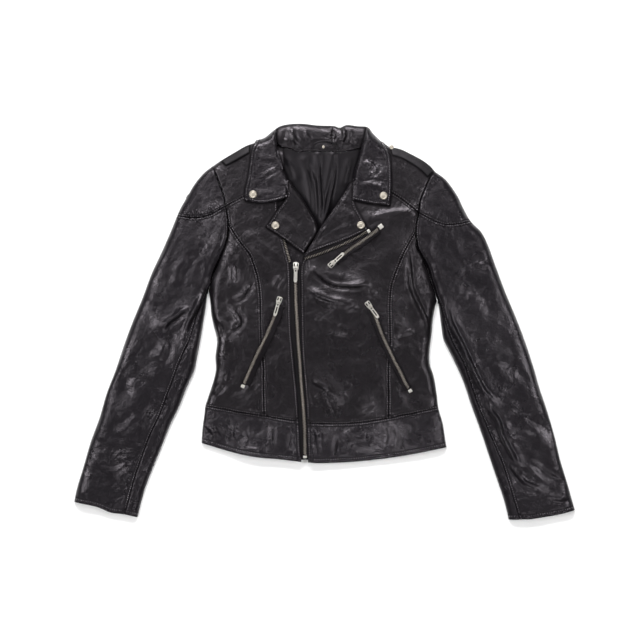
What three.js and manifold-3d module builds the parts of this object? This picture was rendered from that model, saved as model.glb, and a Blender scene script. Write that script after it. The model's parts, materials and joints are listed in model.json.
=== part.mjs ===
// A woman's leather biker jacket, front zip half open and lapels turned back, laid flat on its back.
// Millimetres. Seen from above: +X to the wearer's left, +Y towards the collar, +Z up from the table.
// Every panel is a wall of leather: its plan comes from four edge lines, its height from how far it
// lies from the folds round the garment, where the top layer turns down to the layer underneath.
import * as THREE from "three";
import { mergeVertices } from "three/addons/utils/BufferGeometryUtils.js";
import Module from "manifold-3d";

const wasm = await Module();
wasm.setup();

// ---- Driving dimensions ------------------------------------------------------------------------
const LEATHER = 1.5; // one panel: hide and its interlining
const COLLAR = 2.6; // upper and under collar together
const SATIN = 1.2; // lining with its seam allowance
const SEAM = 0.34; // between two panels that are sewn together
const STACK = 0.45; // between a panel and what lies on it
const FOLD_Z = 3; // height of the side folds, where front and back meet
const BODY_RISE = 19; // top of the front above the table at the chest
const HEM_RISE = 13; // the same at hem and cuffs
const ROLL = 17; // width over which a top layer turns down to its fold
const UNDER_ROLL = 3.6; // the same for the layer on the table
const LEAD = [2.2, 8, 17]; // first columns of a panel beside a fold
const TAPE = { wide: 16, thick: 0.9 }; // zip tape, both sides of the chain
const CHAIN = { wide: 5.6, thick: 2.1 }; // closed metal teeth
const SLIDER = { long: 14, wide: 9.4, tall: 2.4, bridge: 2, pin: 0.7 };
const PULL = { long: 27, wide: 6.2, thick: 1.2, arm: 1.1 };
const SNAP = { r: 7.2, tall: 3.4 }; // cap of a press stud

// ---- Lines on the table, each a short run of points [x, y] or [x, y, height of the seam there] ----
const SIDE = {
  right: [[-209, 55], [-206, 33], [-204, 10], [-199, -12], [-194, -33], [-197, -64], [-196, -87],
    [-201, -109], [-211.5, -141], [-215, -152], [-217, -168], [-220.5, -195], [-222, -219]],
  left: [[203, 37], [200, 28], [196, 6.5], [193.5, -22.5], [190, -51], [190, -76.5], [197, -98],
    [202.5, -130.5], [205.5, -155.5], [213.5, -184.5], [218.5, -217], [220.5, -226.5]],
};
const ARMHOLE = {
  right: [[-209, 55, 4.5], [-201.5, 84, 6], [-190, 112.5, 8], [-179, 139.5, 12], [-174.5, 154, 14],
    [-173, 174.5, 16], [-175, 193.5, 17], [-177.5, 207, 17.5], [-181, 224, 18], [-185.5, 238.5, 18],
    [-191, 253, 18], [-198, 270, 18], [-204, 279, 18]],
  left: [[203, 37, 4.5], [199, 55, 5], [192, 75, 6], [188, 91, 7], [179, 111, 9], [171, 125, 12],
    [166.5, 138, 14], [164.5, 161, 16], [165.5, 175.5, 17], [169, 195.5, 17.5], [172, 217, 18],
    [181, 240, 18], [190, 259, 18], [200, 270, 18]],
};
const SHOULDER = {
  right: [[-204, 279], [-186, 291], [-161, 306], [-139.5, 318], [-121.5, 323], [-98, 321], [-74, 313]],
  left: [[200, 270], [191.5, 280], [177.5, 290.5], [157.5, 301.5], [137.5, 311], [117, 315],
    [92, 317], [66, 312]],
};
const PRINCESS = {
  right: [[-108.5, -170], [-109.5, -132], [-110, -78], [-112.5, -51], [-114.5, -15], [-115.5, 39],
    [-118, 66], [-121.5, 84], [-127, 102], [-134, 120], [-146.5, 136], [-155.5, 148.5], [-173, 174.5]],
  left: [[115.5, -174.5], [115.5, -132], [115, -87], [118, -42], [117.5, -6.5], [117, 30], [119, 57],
    [122.5, 73], [128, 89], [136, 109], [143, 125], [152, 141], [164.5, 161]],
};
const ZIP_EDGE = {
  right: [[-45.5, -180], [-49.5, -123], [-53, -87], [-56.5, -51], [-59.5, -15], [-61, 39], [-62, 96],
    [-65.5, 114], [-74, 145], [-82, 179], [-84.5, 210], [-82, 237]],
  left: [[-32, -183.5], [-34, -141], [-38.5, -91], [-41.5, -42], [-42.5, 3], [-43, 57], [-43, 96],
    [-39.5, 109], [-33, 125], [-21, 145], [-8, 168], [3, 184], [18, 206], [37, 235], [48, 251]],
};
const NECK_EDGE = {
  right: [[-82, 237], [-76, 262], [-73, 285], [-74, 313]],
  left: [[48, 251], [55, 270], [60, 290], [66, 312]],
};
const YOKE = {
  right: [[-177.5, 207], [-145, 224], [-112.5, 235], [-82, 237]],
  left: [[169, 195.5], [145, 215], [121.5, 230.5], [85.5, 243], [48, 251]],
};
const WAIST = {
  right: [[-215, -152], [-188, -157], [-152, -163.5], [-108.5, -170], [-80, -175.5], [-45.5, -180]],
  left: [[205.5, -155.5], [172, -162.5], [136, -170], [115.5, -174.5], [64, -182], [28, -184.5],
    [-8, -184], [-32, -183.5]],
};
const HEM = {
  right: [[-222, -219], [-184.5, -230.5], [-152, -239], [-116, -245], [-80, -248], [-41.5, -253]],
  left: [[220.5, -226.5], [172, -236.5], [136, -243], [100, -248], [64, -252], [28, -254],
    [-8, -255], [-29.5, -254]],
};
const BAND_FRONT = {
  right: [[-45.5, -180], [-44, -215], [-41.5, -253]],
  left: [[-32, -183.5], [-31, -215], [-29.5, -254]],
};
const NECK_SEAM = [
  [-74, 313], [-62, 311], [-50, 305.5], [-30, 307], [-2.5, 306], [30, 306], [50.5, 309], [66, 312],
];
const SLEEVE_OUT = {
  right: [[-204, 279], [-217, 269], [-235, 247.5], [-247.5, 226], [-260, 204.5], [-266, 191],
    [-276, 166.5], [-292.5, 128.5], [-312.5, 85.5], [-328.5, 42.5], [-346.5, -1], [-362.5, -44],
    [-377, -87.5], [-393.5, -130.5], [-406, -173.5], [-422, -217], [-434.5, -260], [-447.5, -303.5],
    [-452, -325]],
  left: [[200, 270], [217, 258], [226, 247.5], [240.5, 226], [251, 204], [264, 181], [283.5, 161],
    [294.5, 139.5], [310.5, 96], [326.5, 53], [344.5, 10], [361, -33], [375.5, -76.5], [388, -119.5],
    [402.5, -163], [415, -206], [425.5, -249.5], [438.5, -292.5], [452, -340]],
};
const SLEEVE_IN = {
  right: [[-211.5, 54], [-214, 30], [-220.5, -12], [-224, -33], [-230.5, -66], [-235, -87.5],
    [-249.5, -120], [-262, -152], [-278, -184.5], [-295, -227.5], [-308.5, -260], [-325, -303.5],
    [-338, -353]],
  left: [[205.5, 36], [208.8, 10], [211.5, -12], [215, -33], [226, -55], [236.5, -76.5],
    [251, -109], [265.5, -152], [281.5, -195.5], [296, -238.5], [310.5, -281.5], [325, -325],
    [333, -357.5]],
};
const ARM_SEAM = {
  right: [[-210, 60], [-221, 28], [-231.5, 3], [-243, -33.5], [-253, -55], [-263.5, -80],
    [-274.5, -110.5], [-287, -141.5], [-299.5, -173.5], [-312.5, -200.5], [-332, -253],
    [-343, -285.5], [-360, -347.5]],
  left: [[203.8, 43], [211, 24], [218.5, -6], [227.5, -33.5], [238.5, -55], [249.5, -76.5],
    [264.5, -119.5], [272.5, -141.5], [287, -177.5], [298, -204.5], [319.5, -253], [330.5, -285.5],
    [341, -321.5], [352, -356.5]],
};
const PATCH_SEAM = {
  right: [[-266, 191], [-242, 186.5], [-224, 187], [-206, 191.5], [-193.5, 198], [-177.5, 207]],
  left: [[264, 181], [242, 175.5], [218.5, 174], [208, 176.5], [194.5, 181.5], [169, 195.5]],
};
const CUFF = {
  right: [[-452, -325], [-409.5, -334], [-386, -344], [-360, -347.5], [-338, -353]],
  left: [[452, -340], [424, -347.5], [397, -352], [370, -356], [352, -356.5], [333, -357.5]],
};
const COLLAR_TOP = [[-122.5, 327.5], [-109, 331.5], [-92.5, 344.5], [-81, 352.5], [-64.5, 356.5],
  [-40, 357.5], [-14, 354.5], [19, 353], [27, 350], [39, 355], [60, 353], [78, 351], [88, 339], [108, 320]];
const LEAF = {
  right: {
    foot: [[-143, 216], [-112.5, 212], [-92.5, 214.5], [-67, 221.5]],
    out: [[-143, 216], [-143, 236.5], [-138.5, 255.5], [-134.5, 283.5], [-130.5, 307.5], [-122.5, 327.5]],
    neck: [[-67, 221.5, 17], [-66, 257, 15], [-73, 272, 15], [-80, 294.5, 15], [-83.5, 307, 15],
      [-85.5, 326.5, 14], [-87, 348.5, 3]],
  },
  left: {
    foot: [[50.5, 218], [76, 212], [100.5, 209], [117, 207.5]],
    out: [[117, 207.5], [120.5, 240.5], [120, 263.5], [118.5, 291.5], [112.5, 311.5], [108, 320]],
    neck: [[50.5, 218, 17], [51.5, 255, 15], [54.5, 275, 15], [59, 287.5, 15], [66.5, 315.5, 15],
      [72, 336, 14], [76, 351, 3]],
  },
};
const LAPEL = {
  right: {
    foot: [[-105.5, 169], [-70, 145], [-38.5, 121.5]],
    neck: [[-38.5, 121.5, 19], [-24.5, 143, 18], [-12.5, 163, 16], [-14.5, 177, 15], [-28.5, 202.5, 15],
      [-42, 225, 15], [-54, 240.5, 15], [-60, 252, 15]],
    out: [[-105.5, 169], [-86, 198], [-67.5, 226], [-74, 252]],
    top: [[-74, 252], [-67, 253], [-60, 252]],
  },
  left: {
    foot: [[-38.5, 110.5], [-28, 121], [-8, 129], [28, 142], [55, 153], [78.5, 165]],
    neck: [[-38.5, 110.5, 18], [-32.5, 125, 16], [-20.5, 145, 15], [-7.5, 168, 15], [3.5, 184, 15],
      [18.5, 206, 15], [37.5, 235, 15], [45, 249, 15]],
    out: [[78.5, 165], [66, 189], [54, 214], [57, 250]],
    top: [[45, 249], [51, 251], [57, 250]],
  },
};
const EPAULETTE = {
  right: {
    upper: [[-185, 288], [-170, 297], [-152, 307.5], [-134, 317]],
    lower: [[-177, 279.5], [-164, 286], [-150, 294], [-134, 303]],
  },
  left: {
    upper: [[195, 270], [177, 287.5], [156, 299], [137, 308], [118, 311.5]],
    lower: [[185, 259.5], [172, 272], [156, 283], [138, 293], [121, 298]],
  },
};
// Zip lines, from the bottom stop or the slider onwards.
const CHAINS = {
  tapes: [[-35, -249], [-36, -186], [-38.5, -150], [-41.5, -114], [-44, -78], [-47.5, -33], [-49.5, 3],
    [-51.5, 39], [-52, 103.5]],
  main: [[-35, -240], [-36, -186], [-38.5, -150], [-41.5, -114], [-44, -78], [-47.5, -33], [-49.5, 3],
    [-51.5, 39], [-51.9, 91.3]],
  main_right: [[-60.5, 108], [-63.5, 120], [-71, 146], [-78, 178], [-80, 196]],
  main_left: [[-34, 110.5], [-26, 113.5], [-8, 119.5], [10, 126.5], [28, 134], [46, 142], [64, 151.5],
    [76, 159.5]],
  pocket_chest: [[19.2, 107.8], [37, 122.5], [46, 129.5], [64, 141.5], [82, 154.5], [96.5, 166]],
  pocket_right: [[-84.2, 29.8], [-91, 6.5], [-101.5, -19], [-112.5, -42.5], [-123.5, -64], [-134, -87.5],
    [-144.5, -112]],
  pocket_left: [[83.4, 23], [92, 6.5], [100, -15.5], [109, -37], [118, -55], [127, -74.5], [136, -91],
    [145, -110.5], [151.5, -120.5]],
};
const SLIDERS = {
  main: { at: [-51.5, 99], towards: [-52.4, 64] },
  pocket_chest: { at: [13.2, 103], towards: [36, 124] },
  pocket_right: { at: [-81.5, 37.6], towards: [-89, 11.5] },
  pocket_left: { at: [79.2, 29.8], towards: [96.5, 6.5] },
};
const STOPS = {
  main_bottom: { at: [-35, -243.6], towards: [-36, -186], wide: 6.5, long: 4, tall: 2.6 },
  main_top: { at: [79, 161.8], towards: [64, 151.5], wide: 6, long: 5, tall: 2.6 },
  pocket_chest: { at: [101, 170], towards: [82, 154.5], wide: 8, long: 8, tall: 2 },
  pocket_right: { at: [-146.6, -116.3], towards: [-134, -87.5], wide: 6.5, long: 5.5, tall: 2.6 },
  pocket_left: { at: [154, -124.6], towards: [145, -110.5], wide: 6.5, long: 5.5, tall: 2.6 },
};
// Lips of each pocket: how far they reach on either side of the zip line, seen down the zip.
const WELTS = {
  pocket_chest: { near: 8, far: 6 },
  pocket_right: { near: 4.6, far: 12.4 },
  pocket_left: { near: 9, far: 6.4 },
};
const HANGER = [[-21, 309], [-20, 318], [-8, 323.5], [8, 324], [21, 318], [23, 309]];
const HANGER_RIVET = [-2, 314.5];
const SNAPS = {
  collar_right: [-128, 227.5],
  collar_left: [105.5, 225],
  lapel_right: [-88, 172],
  lapel_left: [65, 172.5],
};

// The largest folds: a soft ridge, or trough where high is negative, from one place to another.
const FOLDS = [
  { from: [-18, 92], to: [70, 66], high: 3, wide: 11 },
  { from: [-15, 45], to: [48, 24], high: 2.5, wide: 13 },
  { from: [82, 184], to: [166, 199], high: 4, wide: 13 },
  { from: [-30, -90], to: [20, -130], high: 2.5, wide: 14 },
  { from: [-200, 20], to: [-140, -20], high: 2.5, wide: 14 },
  { from: [145, 120], to: [185, -10], high: 3, wide: 12 },
  { from: [-230, 25], to: [-290, -5], high: 3.5, wide: 13 },
  { from: [-340, -95], to: [-300, -150], high: -3, wide: 16 },
  { from: [215, 30], to: [262, -75], high: 3, wide: 10 },
  { from: [262, -75], to: [350, -260], high: 3.5, wide: 12 },
  { from: [350, -285], to: [430, -300], high: -3, wide: 14 },
];
// Long pleats of the back lining, from the neck seam down.
const PLEATS = [
  { from: [-12, 300], to: [-6, 150], high: 3, wide: 8 },
  { from: [14, 300], to: [-2, 150], high: 3.5, wide: 8 },
  { from: [-38, 290], to: [-24, 200], high: 2, wide: 9 },
];

const COLOURS = {
  leather: { color: "#2e2d2f", roughness: 0.45, metalness: 0 },
  lining: { color: "#262427", roughness: 0.35, metalness: 0 },
  tape: { color: "#1b1a1b", roughness: 0.8, metalness: 0 },
  teeth: { color: "#8d8a80", roughness: 0.3, metalness: 1 },
  nickel: { color: "#cfccc6", roughness: 0.25, metalness: 1 },
};

// ---- Lines -------------------------------------------------------------------------------------
const mix = (a, b, t) => a + (b - a) * t;
const mixPoint = (a, b, t) => a.map((value, k) => mix(value, b[k], t));
const reach = (a, b) => Math.hypot(b[0] - a[0], b[1] - a[1]);

// A smooth run through a few points, as close points that everything else measures against.
function smooth(points) {
  const flat = points.map(([x, y, z = FOLD_Z]) => new THREE.Vector3(x, y, z));
  const curve = new THREE.CatmullRomCurve3(flat, false, "centripetal");
  const steps = Math.max(8, Math.round(curve.getLength() / 5));
  return curve.getSpacedPoints(steps).map((p) => [p.x, p.y, p.z]);
}

function lengths(line) {
  const sums = [0];
  for (let k = 1; k < line.length; k++) sums.push(sums[k - 1] + reach(line[k - 1], line[k]));
  return sums;
}

function pointAt(line, distance) {
  const sums = lengths(line);
  let k = 1;
  while (k < line.length - 1 && sums[k] < distance) k++;
  return mixPoint(line[k - 1], line[k], (distance - sums[k - 1]) / (sums[k] - sums[k - 1]));
}

// n steps along a line. "start" and "end" put close steps beside a fold that it begins or ends at.
function spread(line, n, folds = {}) {
  const total = lengths(line).at(-1);
  const share = (0.55 * total) / LEAD.at(-1) / (folds.start && folds.end ? 2 : 1);
  const lead = LEAD.map((d) => d * Math.min(1, share));
  const head = folds.start ? [0, ...lead] : [0];
  const tail = folds.end ? [total, ...lead.map((d) => total - d)].reverse() : [total];
  const inner = n + 1 - head.length - tail.length;
  const middle = [];
  for (let k = 1; k <= inner; k++) middle.push(mix(head.at(-1), tail[0], k / (inner + 1)));
  return [...head, ...middle, ...tail].map((d) => pointAt(line, d));
}

// The stretch of a line between its places nearest to a and b.
function between(line, a, b) {
  const sums = lengths(line);
  const place = (p) => {
    let best = { gap: Infinity };
    for (let k = 1; k < line.length; k++) {
      const [q, r] = [line[k - 1], line[k]];
      const long = reach(q, r);
      const dot = (p[0] - q[0]) * (r[0] - q[0]) + (p[1] - q[1]) * (r[1] - q[1]);
      const along = THREE.MathUtils.clamp(dot / long ** 2, 0, 1);
      const gap = reach(p, mixPoint(q, r, along));
      if (gap < best.gap) best = { gap, at: sums[k - 1] + along * long };
    }
    return best.at;
  };
  const [low, high] = [place(a), place(b)].sort((p, q) => p - q);
  const inner = line.filter((_, k) => sums[k] > low + 0.05 && sums[k] < high - 0.05);
  const run = [pointAt(line, low), ...inner, pointAt(line, high)];
  return place(a) < place(b) ? run : run.reverse();
}

const joined = (...runs) => runs.reduce((all, run) => [...all, ...run.slice(1)]);
const back = (line) => [...line].reverse();

// Distance from a place to a line, the line's height there and its direction.
function nearestOn(line, x, y) {
  let best = { gap: Infinity };
  for (let k = 1; k < line.length; k++) {
    const [a, b] = [line[k - 1], line[k]];
    const [dx, dy] = [b[0] - a[0], b[1] - a[1]];
    const along = THREE.MathUtils.clamp(((x - a[0]) * dx + (y - a[1]) * dy) / (dx * dx + dy * dy), 0, 1);
    const gap = Math.hypot(x - a[0] - dx * along, y - a[1] - dy * along);
    if (gap < best.gap) best = { gap, z: mix(a[2] ?? FOLD_Z, b[2] ?? FOLD_Z, along), dir: [dx, dy] };
  }
  return best;
}

// ---- How the garment lies ------------------------------------------------------------------------
const round = (t) => Math.sqrt(1 - (1 - Math.min(t, 1)) ** 2);

function ridges(table, x, y) {
  let sum = 0;
  for (const { from, to, high, wide } of table) {
    const dir = [to[0] - from[0], to[1] - from[1]];
    const length = Math.hypot(...dir);
    const along = ((x - from[0]) * dir[0] + (y - from[1]) * dir[1]) / length;
    const beside = ((x - from[0]) * dir[1] - (y - from[1]) * dir[0]) / length;
    const beyond = Math.max(0, -along, along - length);
    sum += high * Math.exp(-((beside / wide) ** 2) - (beyond / wide) ** 2);
  }
  return sum;
}

const line = {};
for (const side of ["right", "left"]) {
  line[side] = {};
  const tables = { SIDE, ARMHOLE, SHOULDER, PRINCESS, ZIP_EDGE, NECK_EDGE, YOKE, WAIST, HEM, BAND_FRONT,
    SLEEVE_OUT, SLEEVE_IN, ARM_SEAM, PATCH_SEAM, CUFF };
  for (const [name, table] of Object.entries(tables)) line[side][name] = smooth(table[side]);
}
const neckSeam = smooth(NECK_SEAM);
const collarTop = smooth(COLLAR_TOP);

// A lie gives the height of a layer's outer face, and whether a place is on one of its folds.
function topLie(edges, plateau, table = FOLDS) {
  return {
    up: 1,
    folds: edges.filter((edge) => edge.fold).map((edge) => edge.line),
    height(x, y) {
      let z = plateau(x, y) + ridges(table, x, y);
      for (const edge of edges) {
        const near = nearestOn(edge.line, x, y);
        const low = Math.min(near.z, z);
        z = low + (z - low) * round(near.gap / (edge.wide ?? ROLL));
      }
      return z;
    },
  };
}

function underLie(folds) {
  return {
    up: -1,
    folds,
    height(x, y) {
      const gap = Math.min(...folds.map((fold) => nearestOn(fold, x, y).gap));
      return FOLD_Z * (1 - round(gap / UNDER_ROLL));
    },
  };
}

const bodyPlateau = (x, y) => mix(HEM_RISE, BODY_RISE, THREE.MathUtils.smoothstep(y, -230, 0));
const sleevePlateau = (x, y) => mix(HEM_RISE, BODY_RISE - 0.5, THREE.MathUtils.smoothstep(y, -340, 0));
const bodyFolds = ["right", "left"].flatMap((side) => [line[side].SIDE, line[side].SHOULDER]);
const bodyEnds = [
  ...bodyFolds.map((fold) => ({ line: fold, fold: true })),
  { line: line.right.ARMHOLE },
  { line: line.left.ARMHOLE },
];
const bodyTop = topLie(bodyEnds, bodyPlateau);
const bodyUnder = underLie(bodyFolds);
const sleeveTop = {};
const sleeveUnder = {};
for (const side of ["right", "left"]) {
  const { SLEEVE_OUT: out, SLEEVE_IN: inner, ARMHOLE: hole } = line[side];
  const ends = [{ line: out, fold: true }, { line: inner, fold: true }, { line: hole }];
  sleeveTop[side] = topLie(ends, sleevePlateau);
  sleeveUnder[side] = underLie([out, inner]);
}
const collarFold = [{ line: collarTop, fold: true }];
const bandTop = topLie(collarFold, (x, y) => mix(6, 12, THREE.MathUtils.smoothstep(y, 304, 330)), []);
const collarUnder = underLie([collarTop]);
const liningTop = { up: 1, folds: [], height: (x, y) => 5.2 + ridges(PLEATS, x, y) };
// Lapels and collar leaves turn over softly at their edge on the neck side.
const overlay = (rise, neck, folds) =>
  topLie([...folds, { line: smooth(neck), wide: 8 }], (x, y) => bodyPlateau(x, y) + rise, []);

// ---- Solids ---------------------------------------------------------------------------------------
const jacket = new THREE.Group();
const skins = []; // outer triangles of the layers already laid, for what lies on them

function add(name, geometry, finish, parent = jacket) {
  const mesh = new THREE.Mesh(geometry, new THREE.MeshStandardMaterial(COLOURS[finish]));
  mesh.name = name;
  parent.add(mesh);
  return mesh;
}

function closedBody(positions, triangles) {
  let volume = 0;
  for (const [a, b, c] of triangles) {
    const [p, q, r] = [positions[a], positions[b], positions[c]].map((v) => new THREE.Vector3(...v));
    volume += p.dot(q.cross(r));
  }
  const index = triangles.flatMap(([a, b, c]) => (volume > 0 ? [a, b, c] : [a, c, b]));
  const geometry = new THREE.BufferGeometry();
  geometry.setAttribute("position", new THREE.Float32BufferAttribute(positions.flat(), 3));
  geometry.setIndex(index);
  return geometry;
}

// Height of what is already laid at a place, or -Infinity over the open neck.
function laidAt(x, y) {
  let z = -Infinity;
  for (const skin of skins) {
    if (x < skin.low[0] || y < skin.low[1] || x > skin.high[0] || y > skin.high[1]) continue;
    const [a, b, c] = skin.points;
    const area = (b[0] - a[0]) * (c[1] - a[1]) - (c[0] - a[0]) * (b[1] - a[1]);
    if (Math.abs(area) < 1e-9) continue;
    const s = ((b[0] - x) * (c[1] - y) - (c[0] - x) * (b[1] - y)) / area;
    const t = ((c[0] - x) * (a[1] - y) - (a[0] - x) * (c[1] - y)) / area;
    if (s < -1e-6 || t < -1e-6 || s + t > 1 + 1e-6) continue;
    z = Math.max(z, s * a[2] + t * b[2] + (1 - s - t) * c[2]);
  }
  return z;
}

// The same, at the highest place within a small circle, so that a straight stretch clears the layer.
function clearAt(x, y, radius) {
  let z = laidAt(x, y);
  for (let k = 0; k < 8; k++) {
    const turn = (k * Math.PI) / 4;
    z = Math.max(z, laidAt(x + radius * Math.cos(turn), y + radius * Math.sin(turn)));
  }
  return z;
}

function laySkin(corners) {
  for (const points of corners) {
    const low = [0, 1].map((k) => Math.min(...points.map((p) => p[k])));
    const high = [0, 1].map((k) => Math.max(...points.map((p) => p[k])));
    skins.push({ points, low, high });
  }
}

const shares = (run) => {
  const sums = lengths(run);
  return sums.map((sum) => sum / sums.at(-1));
};

// Plan of a panel: a net of points stretched between its four edges.
function net({ foot, top, start, end }) {
  [foot, top] = [[start[0], ...foot.slice(1, -1), end[0]], [start.at(-1), ...top.slice(1, -1), end.at(-1)]];
  const [uFoot, uTop, vStart, vEnd] = [foot, top, start, end].map(shares);
  return start.map((_, j) =>
    foot.map((__, i) => {
      const v = (vStart[j] + vEnd[j]) / 2;
      const u = mix(uFoot[i], uTop[i], v);
      return [0, 1].map((k) => {
        const edges = mix(foot[i][k], top[i][k], v) + mix(start[j][k], end[j][k], u);
        return edges - mix(mix(foot[0][k], foot.at(-1)[k], u), mix(top[0][k], top.at(-1)[k], u), v);
      });
    }),
  );
}

// Takes a net's border back by half a seam, square to the edge; an edge that is a fold stays.
function drawnIn(plan, onFold) {
  const [rows, columns] = [plan.length, plan[0].length];
  const { clamp } = THREE.MathUtils;
  const at = (i, j) => plan[clamp(j, 0, rows - 1)][clamp(i, 0, columns - 1)];
  return plan.map((row, j) =>
    row.map((point, i) => {
      const moved = [...point];
      const square = (before, after, inside) => {
        const along = [before, after].some((other) => other !== point && onFold(other));
        if (onFold(point) && along) return;
        const dir = [after[0] - before[0], after[1] - before[1]];
        const size = Math.hypot(...dir);
        const side = Math.sign(dir[0] * (inside[1] - point[1]) - dir[1] * (inside[0] - point[0]));
        moved[0] += (-dir[1] / size) * side * (SEAM / 2);
        moved[1] += (dir[0] / size) * side * (SEAM / 2);
      };
      if (i === 0) square(at(0, j - 1), at(0, j + 1), at(1, j));
      if (i === columns - 1) square(at(i, j - 1), at(i, j + 1), at(i - 1, j));
      if (j === 0) square(at(i - 1, 0), at(i + 1, 0), at(i, 1));
      if (j === rows - 1) square(at(i - 1, j), at(i + 1, j), at(i, j - 1));
      return moved;
    }),
  );
}

// The outer point of a layer at a place of its plan, and the way out from it.
function lieAt(lie, [x, y], middle) {
  const fold = lie.folds.map((run) => nearestOn(run, x, y)).find((near) => near.gap < SEAM * 0.4);
  if (fold) {
    const side = Math.sign(fold.dir[1] * (x - middle[0]) - fold.dir[0] * (y - middle[1]));
    const size = Math.hypot(...fold.dir);
    const out = [(fold.dir[1] / size) * side, (-fold.dir[0] / size) * side, 0];
    return { point: [x, y, FOLD_Z + (lie.up * SEAM) / 2], out };
  }
  const step = 0.15;
  const slopeX = (lie.height(x + step, y) - lie.height(x - step, y)) / (2 * step);
  const slopeY = (lie.height(x, y + step) - lie.height(x, y - step)) / (2 * step);
  const size = Math.hypot(slopeX, slopeY, 1) * lie.up;
  return { point: [x, y, lie.height(x, y)], out: [-slopeX / size, -slopeY / size, 1 / size] };
}

// A wall of cloth. "over" lays it on the layers below, at least a small gap above them.
// "out" carries it off the lie, square to it.
function panel(name, lie, edges, { wall = LEATHER, finish = "leather", over = 0, out: off = 0 } = {}) {
  const plan = net(edges);
  const onFold = (p) => lie.folds.some((run) => nearestOn(run, p[0], p[1]).gap < 0.05);
  const inside = drawnIn(plan, onFold);
  const middle = inside[inside.length >> 1][inside[0].length >> 1];
  const [rows, columns] = [inside.length, inside[0].length];
  const outer = [], inner = [];
  for (const row of inside) {
    for (const place of row) {
      const { point, out } = lieAt(lie, place, middle);
      if (over && out[2] !== 0) {
        const lift = clearAt(...place, over) + STACK + wall - point[2];
        point[2] += Math.max(0, lift);
        outer.push(point);
        inner.push([point[0], point[1], point[2] - wall]);
      } else {
        outer.push(point.map((value, k) => value + out[k] * off));
        inner.push(point.map((value, k) => value + out[k] * (off - wall)));
      }
    }
  }
  const count = rows * columns;
  const id = (i, j) => j * columns + i;
  const triangles = [], skin = [];
  const quad = (a, b, c, d) => triangles.push([a, b, c], [a, c, d]);
  for (let j = 0; j < rows - 1; j++) {
    for (let i = 0; i < columns - 1; i++) {
      let cell = [id(i, j), id(i + 1, j), id(i + 1, j + 1), id(i, j + 1)];
      const [a, b, c, d] = [inside[j][i], inside[j][i + 1], inside[j + 1][i + 1], inside[j + 1][i]];
      if (reach(b, d) < reach(a, c)) cell = [cell[1], cell[2], cell[3], cell[0]];
      quad(...cell);
      quad(...[cell[0], cell[3], cell[2], cell[1]].map((k) => k + count));
      skin.push([cell[0], cell[1], cell[2]], [cell[0], cell[2], cell[3]]);
    }
  }
  const rim = [];
  for (let i = 0; i < columns; i++) rim.push(id(i, 0));
  for (let j = 1; j < rows; j++) rim.push(id(columns - 1, j));
  for (let i = columns - 2; i >= 0; i--) rim.push(id(i, rows - 1));
  for (let j = rows - 2; j > 0; j--) rim.push(id(0, j));
  rim.forEach((a, k) => {
    const b = rim[(k + 1) % rim.length];
    quad(b, a, a + count, b + count);
  });
  if (lie.up > 0) laySkin(skin.map((corners) => corners.map((k) => outer[k])));
  return add(name, closedBody([...outer, ...inner], triangles), finish);
}

// Places along a line at which a strip lies, on what is laid there already, or "down" under the lie
// of the front for what is sewn behind an edge.
function rail(table, half, steps, down = null) {
  const run = smooth(table);
  const total = lengths(run).at(-1);
  return Array.from({ length: steps + 1 }, (_, k) => {
    const distance = (k / steps) * total;
    const before = pointAt(run, Math.max(distance - 1, 0));
    const after = pointAt(run, Math.min(distance + 1, total));
    const dir = [after[0] - before[0], after[1] - before[1]].map((value) => value / reach(before, after));
    const [x, y] = pointAt(run, distance);
    const laid = Math.max(clearAt(x, y, half), clearAt(x, y, (0.5 * total) / steps)) + STACK;
    return { x, y, dir, z: down === null ? laid : bodyPlateau(x, y) - down };
  });
}

// A strip along a rail: its section is a closed outline of [across, up].
function strip(name, places, section, finish) {
  const rows = places.map(({ x, y, dir, z }) =>
    section.map(([across, up]) => [x + dir[1] * across, y - dir[0] * across, z + up]),
  );
  const [steps, around] = [places.length - 1, section.length];
  const triangles = [];
  for (let k = 0; k < steps; k++) {
    for (let s = 0; s < around; s++) {
      const [a, b] = [k * around + s, k * around + ((s + 1) % around)];
      triangles.push([a, b, b + around], [a, b + around, a + around]);
    }
  }
  const outline = section.map(([across, up]) => new THREE.Vector2(across, up));
  const turn = THREE.ShapeUtils.isClockWise(outline) ? -1 : 1;
  for (const face of THREE.ShapeUtils.triangulateShape(outline, [])) {
    const [a, b, c] = turn > 0 ? face : [...face].reverse();
    triangles.push([c, b, a], [a, b, c].map((s) => s + steps * around));
  }
  const positions = rows.flat();
  laySkin(triangles.map((corners) => corners.map((k) => positions[k])));
  return add(name, closedBody(positions, triangles), finish);
}

// A place on the garment with its own directions: along the pull, across it, and up from the cloth.
function seat({ at, towards }, radius) {
  const along = new THREE.Vector3(towards[0] - at[0], towards[1] - at[1], 0).normalize();
  const up = new THREE.Vector3(0, 0, 1);
  const across = new THREE.Vector3().crossVectors(along, up);
  const z = clearAt(...at, radius) + STACK;
  return new THREE.Matrix4().makeBasis(across, along, up).setPosition(at[0], at[1], z);
}

function closedFrom(geometry) {
  for (const key of ["normal", "uv"]) geometry.deleteAttribute(key);
  return mergeVertices(geometry, 1e-4);
}

function toManifold(geometry) {
  const plain = closedFrom(geometry);
  return new wasm.Manifold(new wasm.Mesh({
    numProp: 3,
    vertProperties: new Float32Array(plain.attributes.position.array),
    triVerts: new Uint32Array(plain.index.array),
  }));
}

function fromManifold(solid) {
  const mesh = solid.getMesh();
  const geometry = new THREE.BufferGeometry();
  geometry.setAttribute("position", new THREE.Float32BufferAttribute(mesh.vertProperties, 3));
  geometry.setIndex([...mesh.triVerts]);
  return geometry;
}

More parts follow.
